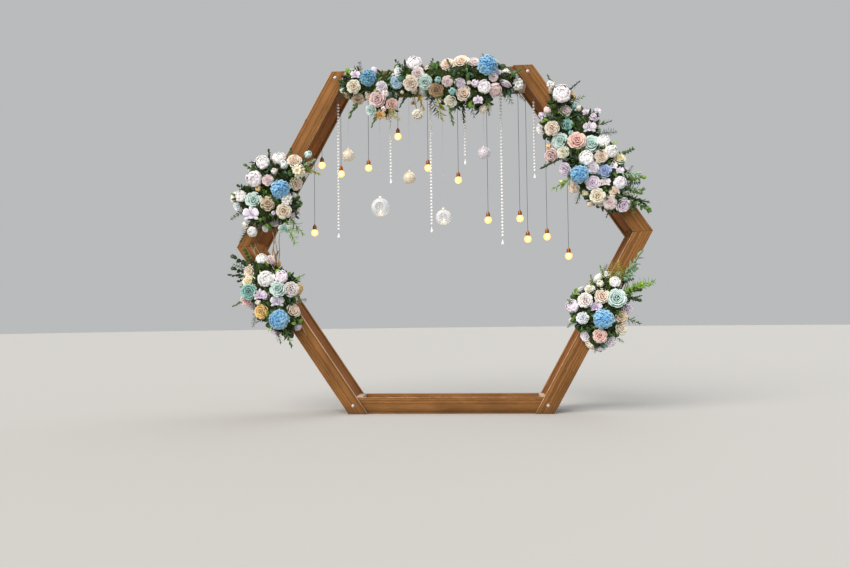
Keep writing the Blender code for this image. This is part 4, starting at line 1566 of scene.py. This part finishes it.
# The flowers that the photograph shows: kind, the pixel of its middle across and down, its width in
# pixels, and its dye
HEADS = {
    "upper_left": (
        ("peony", 262.8, 162.4, 13.4, "lilac_white"), ("peony", 279.1, 158.5, 13.0, "pale_pink"),
        ("rose", 294.6, 161.1, 12.5, "peach_cream"), ("bud", 307.3, 155.7, 8.0, "mint"),
        ("bud", 284.6, 166.1, 9.0, "pale_blue"), ("cluster", 298.6, 170.8, 13.0, "cream"),
        ("peony", 254.5, 178.8, 16.0, "lilac_white"), ("rose", 267.8, 180.2, 10.0, "pink"),
        ("bud", 274.5, 172.1, 7.0, "pink"), ("hydrangea", 280.2, 189.2, 19.4, "sky"),
        ("rose", 296.0, 183.5, 12.0, "peach"), ("bud", 288.0, 196.0, 6.0, "lilac"),
        ("peony", 241.1, 196.2, 11.0, "lilac_white"), ("rose", 253.8, 200.2, 14.4, "mint"),
        ("bud", 259.0, 188.9, 8.0, "orange"), ("rose", 238.4, 206.3, 9.4, "pale_blue"),
        ("rose", 267.8, 203.6, 13.0, "taupe"), ("orchid", 251.8, 214.3, 17.0, "lilac_white"),
        ("cluster", 287.0, 200.0, 11.0, "white"), ("rose", 283.9, 211.0, 13.4, "peach_cream"),
        ("bud", 273.5, 213.0, 5.0, "lilac"), ("rose", 274.5, 220.3, 12.0, "pale_pink"),
        ("bud", 246.0, 224.0, 6.0, "cream"), ("peony", 252.4, 231.7, 10.0, "lilac_white"),
        ("orchid", 284.6, 228.4, 13.0, "mint"),
    ),
    "lower_left": (
        ("peony", 261.5, 259.3, 11.0, "pale_pink"), ("rose", 270.6, 260.0, 9.0, "pink"),
        ("rose", 250.3, 272.3, 13.0, "peach"), ("peony", 266.0, 279.0, 16.0, "lilac_white"),
        ("peony", 281.1, 276.8, 13.0, "lilac"), ("rose", 249.2, 282.1, 12.0, "yellow"),
        ("rose", 248.9, 291.6, 14.0, "teal"), ("rose", 278.0, 288.8, 14.0, "mint"),
        ("rose", 291.0, 289.1, 13.5, "pale_pink"), ("bud", 292.4, 279.3, 7.0, "white"),
        ("orchid", 260.0, 295.4, 13.0, "lilac"), ("cluster", 266.4, 296.0, 7.0, "lilac"),
        ("rose", 246.8, 300.6, 12.0, "dusty_pink"), ("bud", 258.7, 302.8, 6.0, "cream"),
        ("orchid", 277.0, 301.8, 14.0, "lilac_white"), ("rose", 261.5, 311.6, 12.5, "mustard"),
        ("rose", 292.4, 310.9, 14.0, "peach"), ("hydrangea", 279.0, 319.3, 20.0, "sky"),
        ("bud", 288.0, 337.5, 4.0, "white"),
    ),
    "top": (
        ("orchid", 355.5, 75.3, 10.0, "lilac"), ("hydrangea", 368.3, 78.2, 17.0, "deep_sky"),
        ("rose", 353.6, 86.5, 12.0, "peach_cream"), ("rose", 358.0, 99.2, 11.0, "taupe"),
        ("bud", 346.6, 93.5, 5.0, "brown"), ("rose", 381.7, 86.8, 10.0, "lilac_white"),
        ("rose", 369.5, 95.4, 9.0, "peach"), ("rose", 377.5, 99.2, 14.5, "dusty_pink"),
        ("bud", 384.8, 94.0, 8.0, "pink"), ("rose", 391.9, 104.3, 11.0, "coral"),
        ("rose", 371.0, 110.5, 10.0, "mint"), ("orchid", 380.4, 115.0, 12.0, "orange"),
        ("bud", 383.8, 108.8, 6.0, "pink"), ("rose", 399.5, 71.1, 10.8, "pale_blue"),
        ("rose", 396.3, 82.6, 11.5, "blue"), ("peony", 414.2, 63.8, 15.3, "lilac_white"),
        ("rose", 418.0, 73.5, 11.0, "pink"), ("rose", 411.0, 83.3, 13.4, "peach"),
        ("rose", 425.0, 82.0, 13.0, "mint"), ("bud", 402.0, 91.6, 4.0, "cream"),
        ("orchid", 413.5, 103.0, 6.0, "brown"), ("peony", 417.4, 114.4, 11.0, "peach_cream"),
        ("rose", 447.5, 64.6, 12.0, "peach"), ("rose", 461.5, 62.5, 15.0, "peach"),
        ("rose", 473.8, 63.2, 11.0, "pink"), ("hydrangea", 487.5, 65.4, 20.0, "sky"),
        ("orchid", 498.0, 72.7, 7.0, "lilac"), ("rose", 493.4, 77.2, 8.0, "pink"),
        ("cluster", 505.7, 73.0, 8.0, "white"), ("rose", 436.2, 89.9, 12.5, "brown"),
        ("rose", 447.5, 81.5, 10.0, "pink"), ("bud", 437.6, 80.2, 7.0, "teal"),
        ("rose", 460.0, 83.2, 9.5, "lilac"), ("bud", 452.4, 91.3, 8.0, "teal"),
        ("rose", 463.6, 93.4, 13.5, "peach"), ("bud", 468.8, 83.0, 5.0, "cream"),
        ("bud", 475.5, 83.6, 8.5, "lilac"), ("peony", 484.3, 86.8, 13.0, "lilac_white"),
        ("peony", 495.2, 89.9, 13.5, "dusty_pink"), ("rose", 450.5, 101.5, 11.0, "cream"),
        ("orchid", 478.3, 100.5, 10.0, "lilac"), ("cluster", 517.7, 84.0, 11.0, "white"),
    ),
    "upper_right": (
        ("peony", 561.8, 93.8, 17.0, "lilac_white"), ("rose", 564.5, 111.1, 11.6, "pink"),
        ("bud", 573.4, 106.9, 6.0, "teal"), ("bud", 578.8, 109.6, 6.0, "cream"),
        ("orchid", 586.0, 113.0, 8.0, "lilac"), ("orchid", 597.5, 111.4, 7.0, "lilac"),
        ("cluster", 593.0, 117.7, 8.0, "lilac"), ("orchid", 589.5, 127.5, 13.0, "lilac_white"),
        ("rose", 542.6, 128.7, 11.0, "pale_pink"), ("rose", 552.0, 128.2, 12.5, "peach"),
        ("rose", 567.1, 124.6, 10.0, "teal"), ("bud", 571.0, 133.7, 6.0, "teal"),
        ("rose", 560.4, 140.8, 14.0, "mint"), ("rose", 577.0, 140.7, 15.0, "coral"),
        ("bud", 549.0, 145.9, 6.0, "orange"), ("rose", 551.5, 156.0, 13.0, "dusty_pink"),
        ("rose", 563.1, 152.4, 10.7, "cream"), ("rose", 591.7, 144.0, 14.5, "mint"),
        ("peony", 603.0, 141.4, 12.5, "pale_pink"), ("peony", 611.0, 151.2, 12.0, "lilac_white"),
        ("rose", 619.4, 158.7, 11.5, "yellow"), ("rose", 601.5, 156.3, 11.5, "peach"),
        ("peony", 586.2, 157.8, 14.0, "white"), ("rose", 593.1, 167.7, 11.0, "lilac_white"),
        ("rose", 565.0, 169.3, 11.0, "lilac"), ("hydrangea", 579.5, 174.3, 18.0, "sky"),
        ("rose", 604.3, 171.0, 12.0, "periwinkle"), ("orchid", 612.8, 166.5, 9.0, "lilac_white"),
        ("orchid", 620.0, 171.0, 8.0, "lilac_white"), ("peony", 619.8, 182.7, 12.5, "lilac_white"),
        ("rose", 614.5, 191.8, 9.0, "peach"), ("rose", 593.0, 182.6, 13.0, "lilac"),
        ("orchid", 605.5, 182.3, 10.0, "pale_pink"), ("rose", 573.8, 187.4, 10.5, "peach"),
        ("bud", 586.8, 192.6, 9.0, "yellow"), ("rose", 597.6, 196.0, 13.0, "peach_cream"),
        ("rose", 609.6, 202.4, 12.0, "pink"), ("rose", 623.0, 205.0, 13.0, "lilac"),
        ("bud", 561.8, 181.8, 4.5, "yellow"), ("cluster", 551.0, 84.7, 8.0, "white"),
    ),
    "lower_right": (
        ("cluster", 607.2, 275.0, 7.5, "white"), ("peony", 614.9, 281.9, 10.5, "lilac_white"),
        ("bud", 600.6, 284.4, 8.0, "cream"), ("rose", 590.0, 289.7, 9.0, "cream"),
        ("rose", 602.2, 296.2, 12.8, "peach"), ("rose", 616.7, 298.3, 16.0, "mint"),
        ("peony", 572.6, 306.1, 13.0, "lilac"), ("rose", 585.2, 300.5, 12.5, "pale_pink"),
        ("orchid", 596.1, 307.1, 12.0, "lilac"), ("rose", 627.2, 309.2, 9.5, "lilac"),
        ("rose", 582.6, 318.1, 10.5, "pale_blue"), ("hydrangea", 603.4, 319.0, 19.5, "sky"),
        ("rose", 620.7, 316.8, 11.5, "taupe"), ("rose", 621.3, 328.5, 11.5, "peach"),
        ("rose", 599.9, 335.9, 12.0, "coral"), ("rose", 587.3, 335.7, 12.0, "lilac_white"),
        ("rose", 609.9, 340.9, 10.5, "lilac_white"),
    ),
}
# The sprigs that it shows: kind, the pixel of its foot, the pixel of its tip, and its dye
GREENS = {
    "upper_left": (
        ("broad_sprig", 258, 172, 245, 165, "mid"), ("broad_sprig", 252, 190, 238, 185, "mid"),
        ("lance_sprig", 264, 200, 264, 188, "bright"), ("lance_sprig", 264, 216, 260, 228, "dark"),
        ("fern", 304, 164, 320, 176, "lit"), ("euca", 300, 168, 316, 160, "sage"),
        ("lance_sprig", 292, 220, 304, 232, "bright"), ("fern", 288, 230, 300, 242, "bright"),
        ("broad_sprig", 270, 160, 269, 150, "dark"), ("euca", 244, 212, 230, 218, "mid"),
        ("fern", 248, 230, 238, 240, "dark"), ("broad_sprig", 288, 158, 291, 149, "mid"),
    ),
    "lower_left": (
        ("broad_sprig", 252, 268, 233, 257, "dark"), ("broad_sprig", 250, 274, 233, 269, "deep"),
        ("fern", 256, 312, 250, 326, "mid"), ("lance_sprig", 284, 324, 290, 346, "mid"),
        ("fern", 276, 326, 278, 344, "dark"), ("lance_sprig", 266, 318, 256, 322, "dark"),
        ("euca", 292, 300, 306, 302, "sage"), ("fern", 270, 264, 280, 252, "mid"),
        ("lance_sprig", 246, 300, 234, 306, "mid"), ("lance_sprig", 292, 282, 304, 276, "bright"),
        ("broad_sprig", 252, 264, 244, 250, "mid"), ("euca", 250, 270, 234, 262, "sage"),
        ("broad_sprig", 249, 278, 238, 281, "deep"), ("lance_sprig", 250, 276, 230, 275, "dark"),
    ),
    "top": (
        ("fern", 350, 90, 336, 98, "dark"), ("lance_sprig", 360, 104, 350, 116, "mid"),
        ("fern", 388, 108, 398, 122, "lit"), ("lance_sprig", 408, 92, 400, 106, "mid"),
        ("fern", 428, 96, 434, 118, "dark"), ("lance_sprig", 436, 98, 444, 118, "lit"),
        ("fern", 444, 104, 452, 124, "bright"), ("fern", 462, 102, 462, 122, "dark"),
        ("lance_sprig", 470, 100, 476, 116, "deep"), ("fern", 486, 98, 492, 114, "mid"),
        ("lance_sprig", 500, 92, 510, 104, "mid"), ("euca", 508, 78, 522, 70, "mid"),
        ("broad_sprig", 402, 70, 396, 60, "mid"), ("broad_sprig", 430, 70, 432, 59, "dark"),
        ("broad_sprig", 478, 62, 482, 54, "mid"), ("euca", 366, 68, 358, 62, "blue_green"),
        ("broad_sprig", 452, 70, 447, 60, "mid"), ("lance_sprig", 420, 96, 424, 108, "yellow"),
        ("fern", 514, 90, 528, 98, "dark"), ("lance_sprig", 376, 116, 372, 126, "mid"),
    ),
    "upper_right": (
        ("euca", 616, 172, 640, 178, "sage"), ("fern", 622, 188, 642, 194, "mid"),
        ("broad_sprig", 626, 196, 644, 206, "mid"), ("lance_sprig", 596, 126, 610, 120, "mid"),
        ("fern", 600, 134, 616, 128, "dark"), ("lance_sprig", 570, 104, 584, 98, "mid"),
        ("euca", 556, 118, 544, 112, "mint_leaf"), ("fern", 556, 160, 540, 168, "dark"),
        ("lance_sprig", 566, 178, 554, 190, "bright"), ("fern", 580, 190, 574, 202, "mid"),
        ("lance_sprig", 556, 88, 548, 76, "mid"), ("lance_sprig", 612, 204, 606, 216, "dark"),
        ("euca", 618, 156, 634, 150, "mid"), ("fern", 570, 90, 580, 82, "dark"),
        ("euca", 625, 177, 631, 165, "sage"), ("euca", 626, 178, 641, 172, "mint_leaf"),
        ("broad_sprig", 628, 181, 644, 178, "bright"), ("euca", 626, 184, 640, 184, "blue_green"),
        ("broad_sprig", 626, 188, 643, 188, "sage"), ("euca", 625, 191, 643, 195, "bright"),
        ("broad_sprig", 628, 193, 640, 202, "deep"), ("fern", 630, 195, 648, 204, "dark"),
        ("lance_sprig", 631, 197, 634, 213, "mid"), ("broad_sprig", 634, 197, 648, 211, "mid"),
    ),
    "lower_right": (
        ("broad_sprig", 612, 280, 625, 267, "bright"), ("fern", 602, 280, 604, 264, "dark"),
        ("broad_sprig", 626, 294, 642, 284, "bright"), ("fern", 628, 300, 642, 296, "dark"),
        ("lance_sprig", 594, 288, 590, 276, "mid"), ("euca", 582, 308, 568, 298, "sage"),
        ("lance_sprig", 598, 340, 596, 352, "dark"), ("fern", 612, 334, 622, 344, "mid"),
        ("lance_sprig", 628, 316, 640, 322, "mid"), ("fern", 578, 318, 566, 326, "mid"),
        ("fern", 611, 282, 608, 262, "lit"), ("fern", 618, 284, 622, 261, "lit"),
        ("fern", 622, 286, 632, 268, "bright"), ("euca", 624, 286, 637, 266, "mint_leaf"),
        ("lance_sprig", 630, 278, 642, 254, "sage"), ("fern", 628, 288, 652, 276, "bright"),
        ("fern", 629, 291, 651, 285, "bright"), ("lance_sprig", 606, 280, 600, 266, "bright"),
        ("broad_sprig", 609, 293, 608, 282, "bright"), ("euca", 593, 291, 590, 280, "lit"),
        ("broad_sprig", 626, 290, 640, 290, "deep"), ("broad_sprig", 627, 294, 640, 300, "dark"),
        ("euca", 620, 283, 634, 280, "deep"),
    ),
}
# Pale twigs that join the two left sprays and stick out below, through pixels of the photograph
TWIGS = (
    ((277.2, 266.0), (274.7, 255.0), (272.9, 246.0), (274.0, 232.0)),
    ((278.5, 264.0), (280.0, 250.0), (278.5, 240.0), (280.5, 228.0)),
    ((272.3, 262.0), (272.4, 250.0), (275.2, 239.0), (277.0, 230.0)),
    ((276.0, 264.0), (277.4, 253.0), (276.0, 243.0), (272.0, 231.0)),
    ((258.5, 261.0), (255.0, 254.5), (252.5, 249.0), (250.6, 244.0)),
    ((258.0, 260.0), (254.0, 252.0), (254.6, 247.5), (256.0, 243.5)),
    ((290.0, 316.0), (297.0, 319.0), (302.0, 325.0), (306.2, 335.5)),
)
TWIG_RADIUS, TWIG_DEPTH, TWIG_SWAY = 0.0040, -0.100, 0.012


# Setting the flowers and leaves on their moss

FOAM_VOXEL, MOSS_VOXEL = 0.010, 0.008
TUFT_HEIGHT = 0.004
# Where a spray's middle lies in depth, and how far in front what grows there may reach
SPRAY_DEPTH = -0.112
FRONT_LIMIT = CAD_LOW.y - 0.018
# No dyed cloth is paler than this, as a share of white.
PALEST = 0.95
# How far above its foot a flower's middle lies, in radii, and how wide it is for one unit of its petals
FLOWER_RISE = {"rose": 0.42, "peony": 0.66, "hydrangea": 0.45, "orchid": 0.18, "cluster": 0.35,
               "bud": 0.50}
FLOWER_SPREAD = {"rose": 0.86, "peony": 0.67, "hydrangea": 0.98, "orchid": 0.95, "cluster": 0.82,
                 "bud": 0.48}
# Petals curl in behind what a flower's outline shows, so each is made this much wider than its outline.
HEAD_SWELL = 1.07
# A flower faces partly as its moss does, partly towards the viewer and a little upwards.
AS_THE_MOSS, TO_THE_VIEWER, UPWARDS = 0.42, 0.70, 0.10
STEM_RADIUS, STEM_SUNK = 0.0022, 0.012
# How far a foot is sunk into the moss, in front and on the back, and a sprig's, over its length
SUNK, BACK_SUNK, SPRIG_SUNK = 0.004, 0.003, 0.08
# Moss that turns back and lies deeper than these is pressed to a board, so nothing is set there.
FLOWERS_TO, LEAVES_TO = -0.045, -0.085
# How near a flower or leaf may stand to a flower, over the radii, and a flower on the back to a board
FLOWER_GAP, LEAF_GAP, BACK_FLOWER_GAP, BOARD_GAP = 0.86, 1.08, 0.9, 1.7
TRIES_FOR_FILLER = 6
FILLER_KINDS = ("rose", "rose", "peony", "bud", "cluster", "rose", "orchid")
FILLER_RADII, BACK_RADII, MOST_FOR_BUD = (0.026, 0.044), (0.018, 0.028), 0.024
LEAF_CHOICE = ("dark", "deep", "deep", "mid", "dark", "deep", "mid", "dark", "blue_green", "bright")
LEAF_LENGTHS, BACK_LEAF_LENGTHS, LEAST_LEAF = (0.030, 0.055), (0.030, 0.046), 0.014
# A leaf's lean in degrees; on the back it lies flatter, a third of the way up from the moss.
LEAF_LEAN, BACK_LEAF_LEAN = 68, 30
# How many more places are tried on the back than in front, and the share of them for a flower
BACK_DENSITY, BACK_FLOWERS = 1.3, 0.25
PLURALS = {"rose": "roses", "peony": "peonies", "hydrangea": "hydrangeas", "orchid": "orchids",
           "cluster": "small_flowers", "bud": "buds"}


def moss_pad(name, inset, seed):
    """The moss that a spray is built on: the frame's spray drawn in, but still pressed to the boards."""
    node = f"{name}_flower_spray"
    pad = copy_of(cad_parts[node], Matrix(), f"{name}_moss")
    pad.data.name = pad.name
    face_outwards(pad)
    apply_modifier(pad, "REMESH", mode="VOXEL", voxel_size=FOAM_VOXEL)
    steps = 5
    for _ in range(steps):
        edit(pad)
        pick(pad, lambda vertex: vertex.normal.y < 0.55)
        bpy.ops.transform.shrink_fatten(value=-inset / steps)
        bpy.ops.mesh.vertices_smooth(factor=0.35, repeat=1)
        leave_edit()
    apply_modifier(pad, "REMESH", mode="VOXEL", voxel_size=MOSS_VOXEL)
    for vertex in pad.data.vertices:
        tuft = noise.noise(vertex.co * 60.0 + Vector((seed, 0, 0)))
        vertex.co += vertex.normal * TUFT_HEIGHT * tuft
    coat(pad, moss())
    smooth(pad, 80)
    return place(pad, "silk_flowers", node)


def tree_of(meshes):
    """Meshes as one tree that can be searched."""
    points, faces = [], []
    for mesh in meshes:
        first = len(points)
        points += [vertex.co for vertex in mesh.vertices]
        faces += [[first + corner for corner in face.vertices] for face in mesh.polygons]
    return BVHTree.FromPolygons(points, faces)


def point_at_depth(stage, across, down, depth):
    """The point seen through a pixel of the photograph, at a depth into the scene."""
    eye = Vector(stage.place)
    way = sight_through(stage, across, down)
    return eye + way * ((depth - eye.y) / way.y)


def add_twigs(stage):
    """Thin dried twigs, thinner towards their tips, from the lower left spray up into the upper left one."""
    twigs = []
    for pixels in TWIGS:
        spots = [point_at_depth(stage, across, down, TWIG_DEPTH - TWIG_SWAY * (number % 2))
                 for number, (across, down) in enumerate(pixels)]
        item = wire("twig", "NURBS", spots, TWIG_RADIUS)
        item.data.resolution_u = 8
        spline = item.data.splines[0]
        spline.use_endpoint_u = True
        spline.order_u = 3
        for number, point in enumerate(spline.points):
            point.radius = 1.0 - 0.22 * number
        activate(item)
        bpy.ops.object.convert(target="MESH")
        twigs.append(bpy.context.object)
    piece = join("left_corner_twigs", twigs)
    face_outwards(piece)
    coat(piece, twig_bark())
    smooth(piece, 60)
    place(piece, "silk_flowers")


def dye_with(item, values):
    """Gives each point its dye, from a flat list of red, green, blue and alpha."""
    item.data.attributes.new("dye", "FLOAT_COLOR", "POINT").data.foreach_set("color", values)


def dye_flower(item, dye, draws):
    """Dyes a copy of a flower: its core and rim colours, mixed by its tint, a little lighter or darker."""
    rim, core = (Vector(linear(code)[:3]) for code in DYES[dye])
    green = Vector(linear(LEAF_DYES["mid"])[:3])
    shade = draws.uniform(0.93, 1.06)
    tints = [0.0] * len(item.data.vertices)
    item.data.attributes["tint"].data.foreach_get("value", tints)
    values = []
    for tint in tints:
        mix = green if tint < 0.0 else core.lerp(rim, min(1.0, tint)) * shade
        values += (*(min(PALEST, part) for part in mix), 1.0)
    item.data.attributes.remove(item.data.attributes["tint"])
    dye_with(item, values)


def dye_leaf(item, dye, draws):
    """Dyes a leaf or sprig in one green, a little off."""
    colour = Vector(linear(LEAF_DYES[dye])[:3]) * draws.uniform(0.75, 1.2)
    dye_with(item, (*colour, 1.0) * len(item.data.vertices))


def press_back(item):
    """Presses what stands out too far in front back to just beyond the limit, as a hand would."""
    for vertex in item.data.vertices:
        if vertex.co.y < FRONT_LIMIT:
            vertex.co.y = FRONT_LIMIT + (vertex.co.y - FRONT_LIMIT) * 0.15


class Spray:
    """One spray as it grows: its moss, and the flowers, stems and leaves that stand on it so far."""

    def __init__(self, name, number, stage, sizes, flowers, greens):
        self.name, self.stage, self.sizes = name, stage, sizes
        self.flowers, self.greens = flowers, greens
        self.draws = random.Random(sizes.seed * 100 + number)
        self.pad = moss_pad(name, sizes.inset, number * 5.0)
        self.tree = tree_of([self.pad.data])
        self.leaf_count = sizes.leaves * sum(face.area for face in self.pad.data.polygons)
        self.dyes = [dye for kind, *_, dye in HEADS[name] if kind != "hydrangea"]
        # The flowers by kind, and the middle and radius of each place that a flower has taken
        self.heads, self.taken = {}, []
        self.stems, self.leaves = [], []

    def meet(self, across, down):
        """Where the line of sight through a pixel meets the moss, the way it faces there, and that line."""
        sight = sight_through(self.stage, across, down)
        spot, normal, _, _ = self.tree.ray_cast(Vector(self.stage.place), sight)
        if spot is not None:
            return spot, normal, sight
        beside = point_at_depth(self.stage, across, down, SPRAY_DEPTH)
        spot, normal, _, _ = self.tree.find_nearest(beside)
        return spot, (beside - spot).normalized() * 0.7 + normal * 0.3, sight

    def random_spots(self, count):
        """Points spread at random over the moss, with the way that it faces at each."""
        faces = self.pad.data.polygons
        spots = [(face.center.copy(), face.normal.copy()) for face in faces]
        return self.draws.choices(spots, weights=[face.area for face in faces], k=int(count))

    def set_flower(self, kind, dye, foot, way, radius):
        """Sets one flower with its foot at a point, turned to face a way."""
        turn = 0.0 if kind == "orchid" else self.draws.uniform(0.0, math.tau)
        head = copy_of(self.flowers[kind], at(*foot) @ facing(way, turn)
                       @ Matrix.Scale(radius / FLOWER_SPREAD[kind], 4))
        dye_flower(head, dye, self.draws)
        self.heads.setdefault(kind, []).append(head)

    def set_leaf(self, kind, foot, way, lean, length):
        """Sets one leaf, which leans by degrees from the way that the moss faces."""
        turn = self.draws.uniform(0.0, math.tau)
        leaf = copy_of(self.greens[kind], at(*foot) @ facing(way, turn) @ tilt(lean)
                       @ Matrix.Scale(length, 4))
        dye_leaf(leaf, self.draws.choice(LEAF_CHOICE), self.draws)
        self.leaves.append(leaf)

    def add_seen_flowers(self):
        """Sets the flowers that the photograph shows, each on its stem."""
        eye = Vector(self.stage.place)
        for kind, across, down, width, dye in HEADS[self.name]:
            spot, normal, sight = self.meet(across, down)
            radius = width * HEAD_SWELL / PIXELS_PER_MM / MM_IN_A_METRE / 2
            way = (normal.normalized() * AS_THE_MOSS - sight * TO_THE_VIEWER
                   + Vector((0, 0, UPWARDS))).normalized()
            # The middle of the flower, not its foot, belongs on the line of sight.
            rise = FLOWER_RISE[kind] * radius
            foot = eye + sight * (spot + way * rise - eye).length - way * rise
            self.set_flower(kind, dye, foot, way, radius)
            nearest = self.tree.find_nearest(foot)[0]
            self.stems.append(stem_between(nearest - (foot - nearest) * 0.1 - way * STEM_SUNK,
                                           foot + way * SUNK, STEM_RADIUS))
            self.taken.append((foot + way * rise, radius))

    def add_filler_flowers(self):
        """Fills the bare places round the sides with more flowers in the spray's own dyes."""
        for spot, normal in self.random_spots(self.sizes.fillers * TRIES_FOR_FILLER):
            kind = self.draws.choice(FILLER_KINDS)
            radius = self.draws.uniform(*FILLER_RADII)
            if kind in ("bud", "cluster"):
                radius = min(radius, MOST_FOR_BUD)
            if not -0.2 <= normal.y <= 0.5 or spot.y > FLOWERS_TO:
                continue
            way = (normal + stray(self.draws, 0.2)).normalized()
            middle = spot + way * radius * 0.4
            if any((middle - other).length < (radius + size) * FLOWER_GAP for other, size in self.taken):
                continue
            self.set_flower(kind, self.draws.choice(self.dyes), spot - way * SUNK, way, radius)
            self.taken.append((middle, radius))

    def add_sprigs(self):
        """Sets the sprigs that the photograph shows, each with its foot sunk a little into the moss."""
        for kind, across, down, tip_across, tip_down, dye in GREENS[self.name]:
            foot = self.meet(across, down)[0]
            along = point_at_depth(self.stage, tip_across, tip_down, foot.y - 0.010) - foot
            turn = self.draws.uniform(0.0, math.tau)
            sprig_piece = copy_of(self.greens[kind], at(*(foot - along * SPRIG_SUNK)) @ facing(along, turn)
                                  @ Matrix.Scale(along.length, 4))
            dye_leaf(sprig_piece, dye, self.draws)
            self.leaves.append(sprig_piece)

    def add_leaves(self):
        """Sets single leaves wherever the moss has no flower on it and isn't pressed to the boards."""
        for spot, normal in self.random_spots(self.leaf_count):
            way = normal + stray(self.draws, 0.9) * 0.9
            if normal.y > 0.5 and spot.y > LEAVES_TO:
                continue
            if any((spot - middle).length < radius * LEAF_GAP for middle, radius in self.taken):
                continue
            kind = self.draws.choice(("lance", "lance", "round"))
            length = self.draws.uniform(*LEAF_LENGTHS)
            self.set_leaf(kind, spot - normal * SUNK, way, LEAF_LEAN, length)

    def dress_back(self, behind):
        """Leaves and small flowers on the back of the moss, wherever no board or pendant is close behind."""
        for spot, normal in self.random_spots(self.leaf_count * BACK_DENSITY):
            if normal.y < 0.5:
                continue
            clear = behind.find_nearest(spot)[3]
            beside = min(((spot - middle).length - radius for middle, radius in self.taken), default=1.0)
            radius = self.draws.uniform(*BACK_RADII)
            way = (normal + stray(self.draws, 0.3)).normalized()
            roomy = clear > radius * BOARD_GAP and beside > radius * BACK_FLOWER_GAP
            if self.draws.random() < BACK_FLOWERS and roomy:
                kind = self.draws.choice(FILLER_KINDS)
                self.set_flower(kind, self.draws.choice(self.dyes), spot - way * SUNK, way, radius)
                self.taken.append((spot + way * radius * 0.4, radius))
                continue
            length = min(self.draws.uniform(*BACK_LEAF_LENGTHS), clear)
            if length > LEAST_LEAF and beside > 0.0:
                kind = self.draws.choice(("lance", "round"))
                self.set_leaf(kind, spot - normal * BACK_SUNK, way, BACK_LEAF_LEAN, length)

    def finish(self):
        """Joins the flowers of each kind, the stems and the leaves into finished pieces."""
        for kind, parts in self.heads.items():
            self.finish_piece(PLURALS[kind], parts, silk_petal())
        stems = join(f"{self.name}_flower_stems", self.stems)
        dye_leaf(stems, "mid", self.draws)
        coat(stems, silk_leaf())
        place(stems, "silk_flowers")
        self.finish_piece("leaves", self.leaves, silk_leaf())

    def finish_piece(self, what, parts, material):
        """Joins parts into one finished piece of the spray."""
        piece = join(f"{self.name}_{what}", parts)
        press_back(piece)
        coat(piece, material)
        place(piece, "silk_flowers")


class WEDDING_OT_sprays(bpy.types.Operator):
    """Adds the five sprays of silk flowers and leaves"""
    bl_idname = "wedding.add_sprays"
    bl_label = "Flower sprays"

    def execute(self, context):
        stage, sizes = context.scene.wedding_stage, context.scene.wedding_sprays
        flowers, greens = make_flowers(sizes), make_greens()
        behind = tree_of([node.data for name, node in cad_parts.items() if not name.endswith("_spray")])
        for number, name in enumerate(HEADS):
            spray = Spray(name, number, stage, sizes, flowers, greens)
            spray.add_seen_flowers()
            spray.add_filler_flowers()
            spray.add_sprigs()
            spray.add_leaves()
            spray.dress_back(behind)
            spray.finish()
        add_twigs(stage)
        discard(*flowers.values(), *greens.values())
        return {"FINISHED"}


# Panel and run

OPERATORS = (
    WEDDING_OT_stage,
    WEDDING_OT_bead_strings,
    WEDDING_OT_small_balls,
    WEDDING_OT_globes,
    WEDDING_OT_lamps,
    WEDDING_OT_boards,
    WEDDING_OT_bolts,
    WEDDING_OT_sprays,
)


class WEDDING_PT_panel(bpy.types.Panel):
    """Lists the arch's pieces and their sizes"""
    bl_idname = "WEDDING_PT_panel"
    bl_label = "Wedding arch"
    bl_space_type = "VIEW_3D"
    bl_region_type = "UI"
    bl_category = "Wedding arch"

    def draw(self, context):
        for name, group in SETTINGS:
            box = self.layout.box()
            box.label(text=group.__doc__)
            for size in group.__annotations__:
                box.prop(getattr(context.scene, name), size)
        for operator in OPERATORS:
            self.layout.operator(operator.bl_idname)


def register():
    for name, group in SETTINGS:
        bpy.utils.register_class(group)
        setattr(bpy.types.Scene, name, PointerProperty(type=group))
    for operator in OPERATORS:
        bpy.utils.register_class(operator)
    bpy.utils.register_class(WEDDING_PT_panel)


def unregister():
    bpy.utils.unregister_class(WEDDING_PT_panel)
    for operator in reversed(OPERATORS):
        bpy.utils.unregister_class(operator)
    for name, group in reversed(SETTINGS):
        delattr(bpy.types.Scene, name)
        bpy.utils.unregister_class(group)


def main():
    register()
    for operator in OPERATORS:
        group, name = operator.bl_idname.split(".")
        getattr(getattr(bpy.ops, group), name)()


if __name__ == "__main__":
    main()
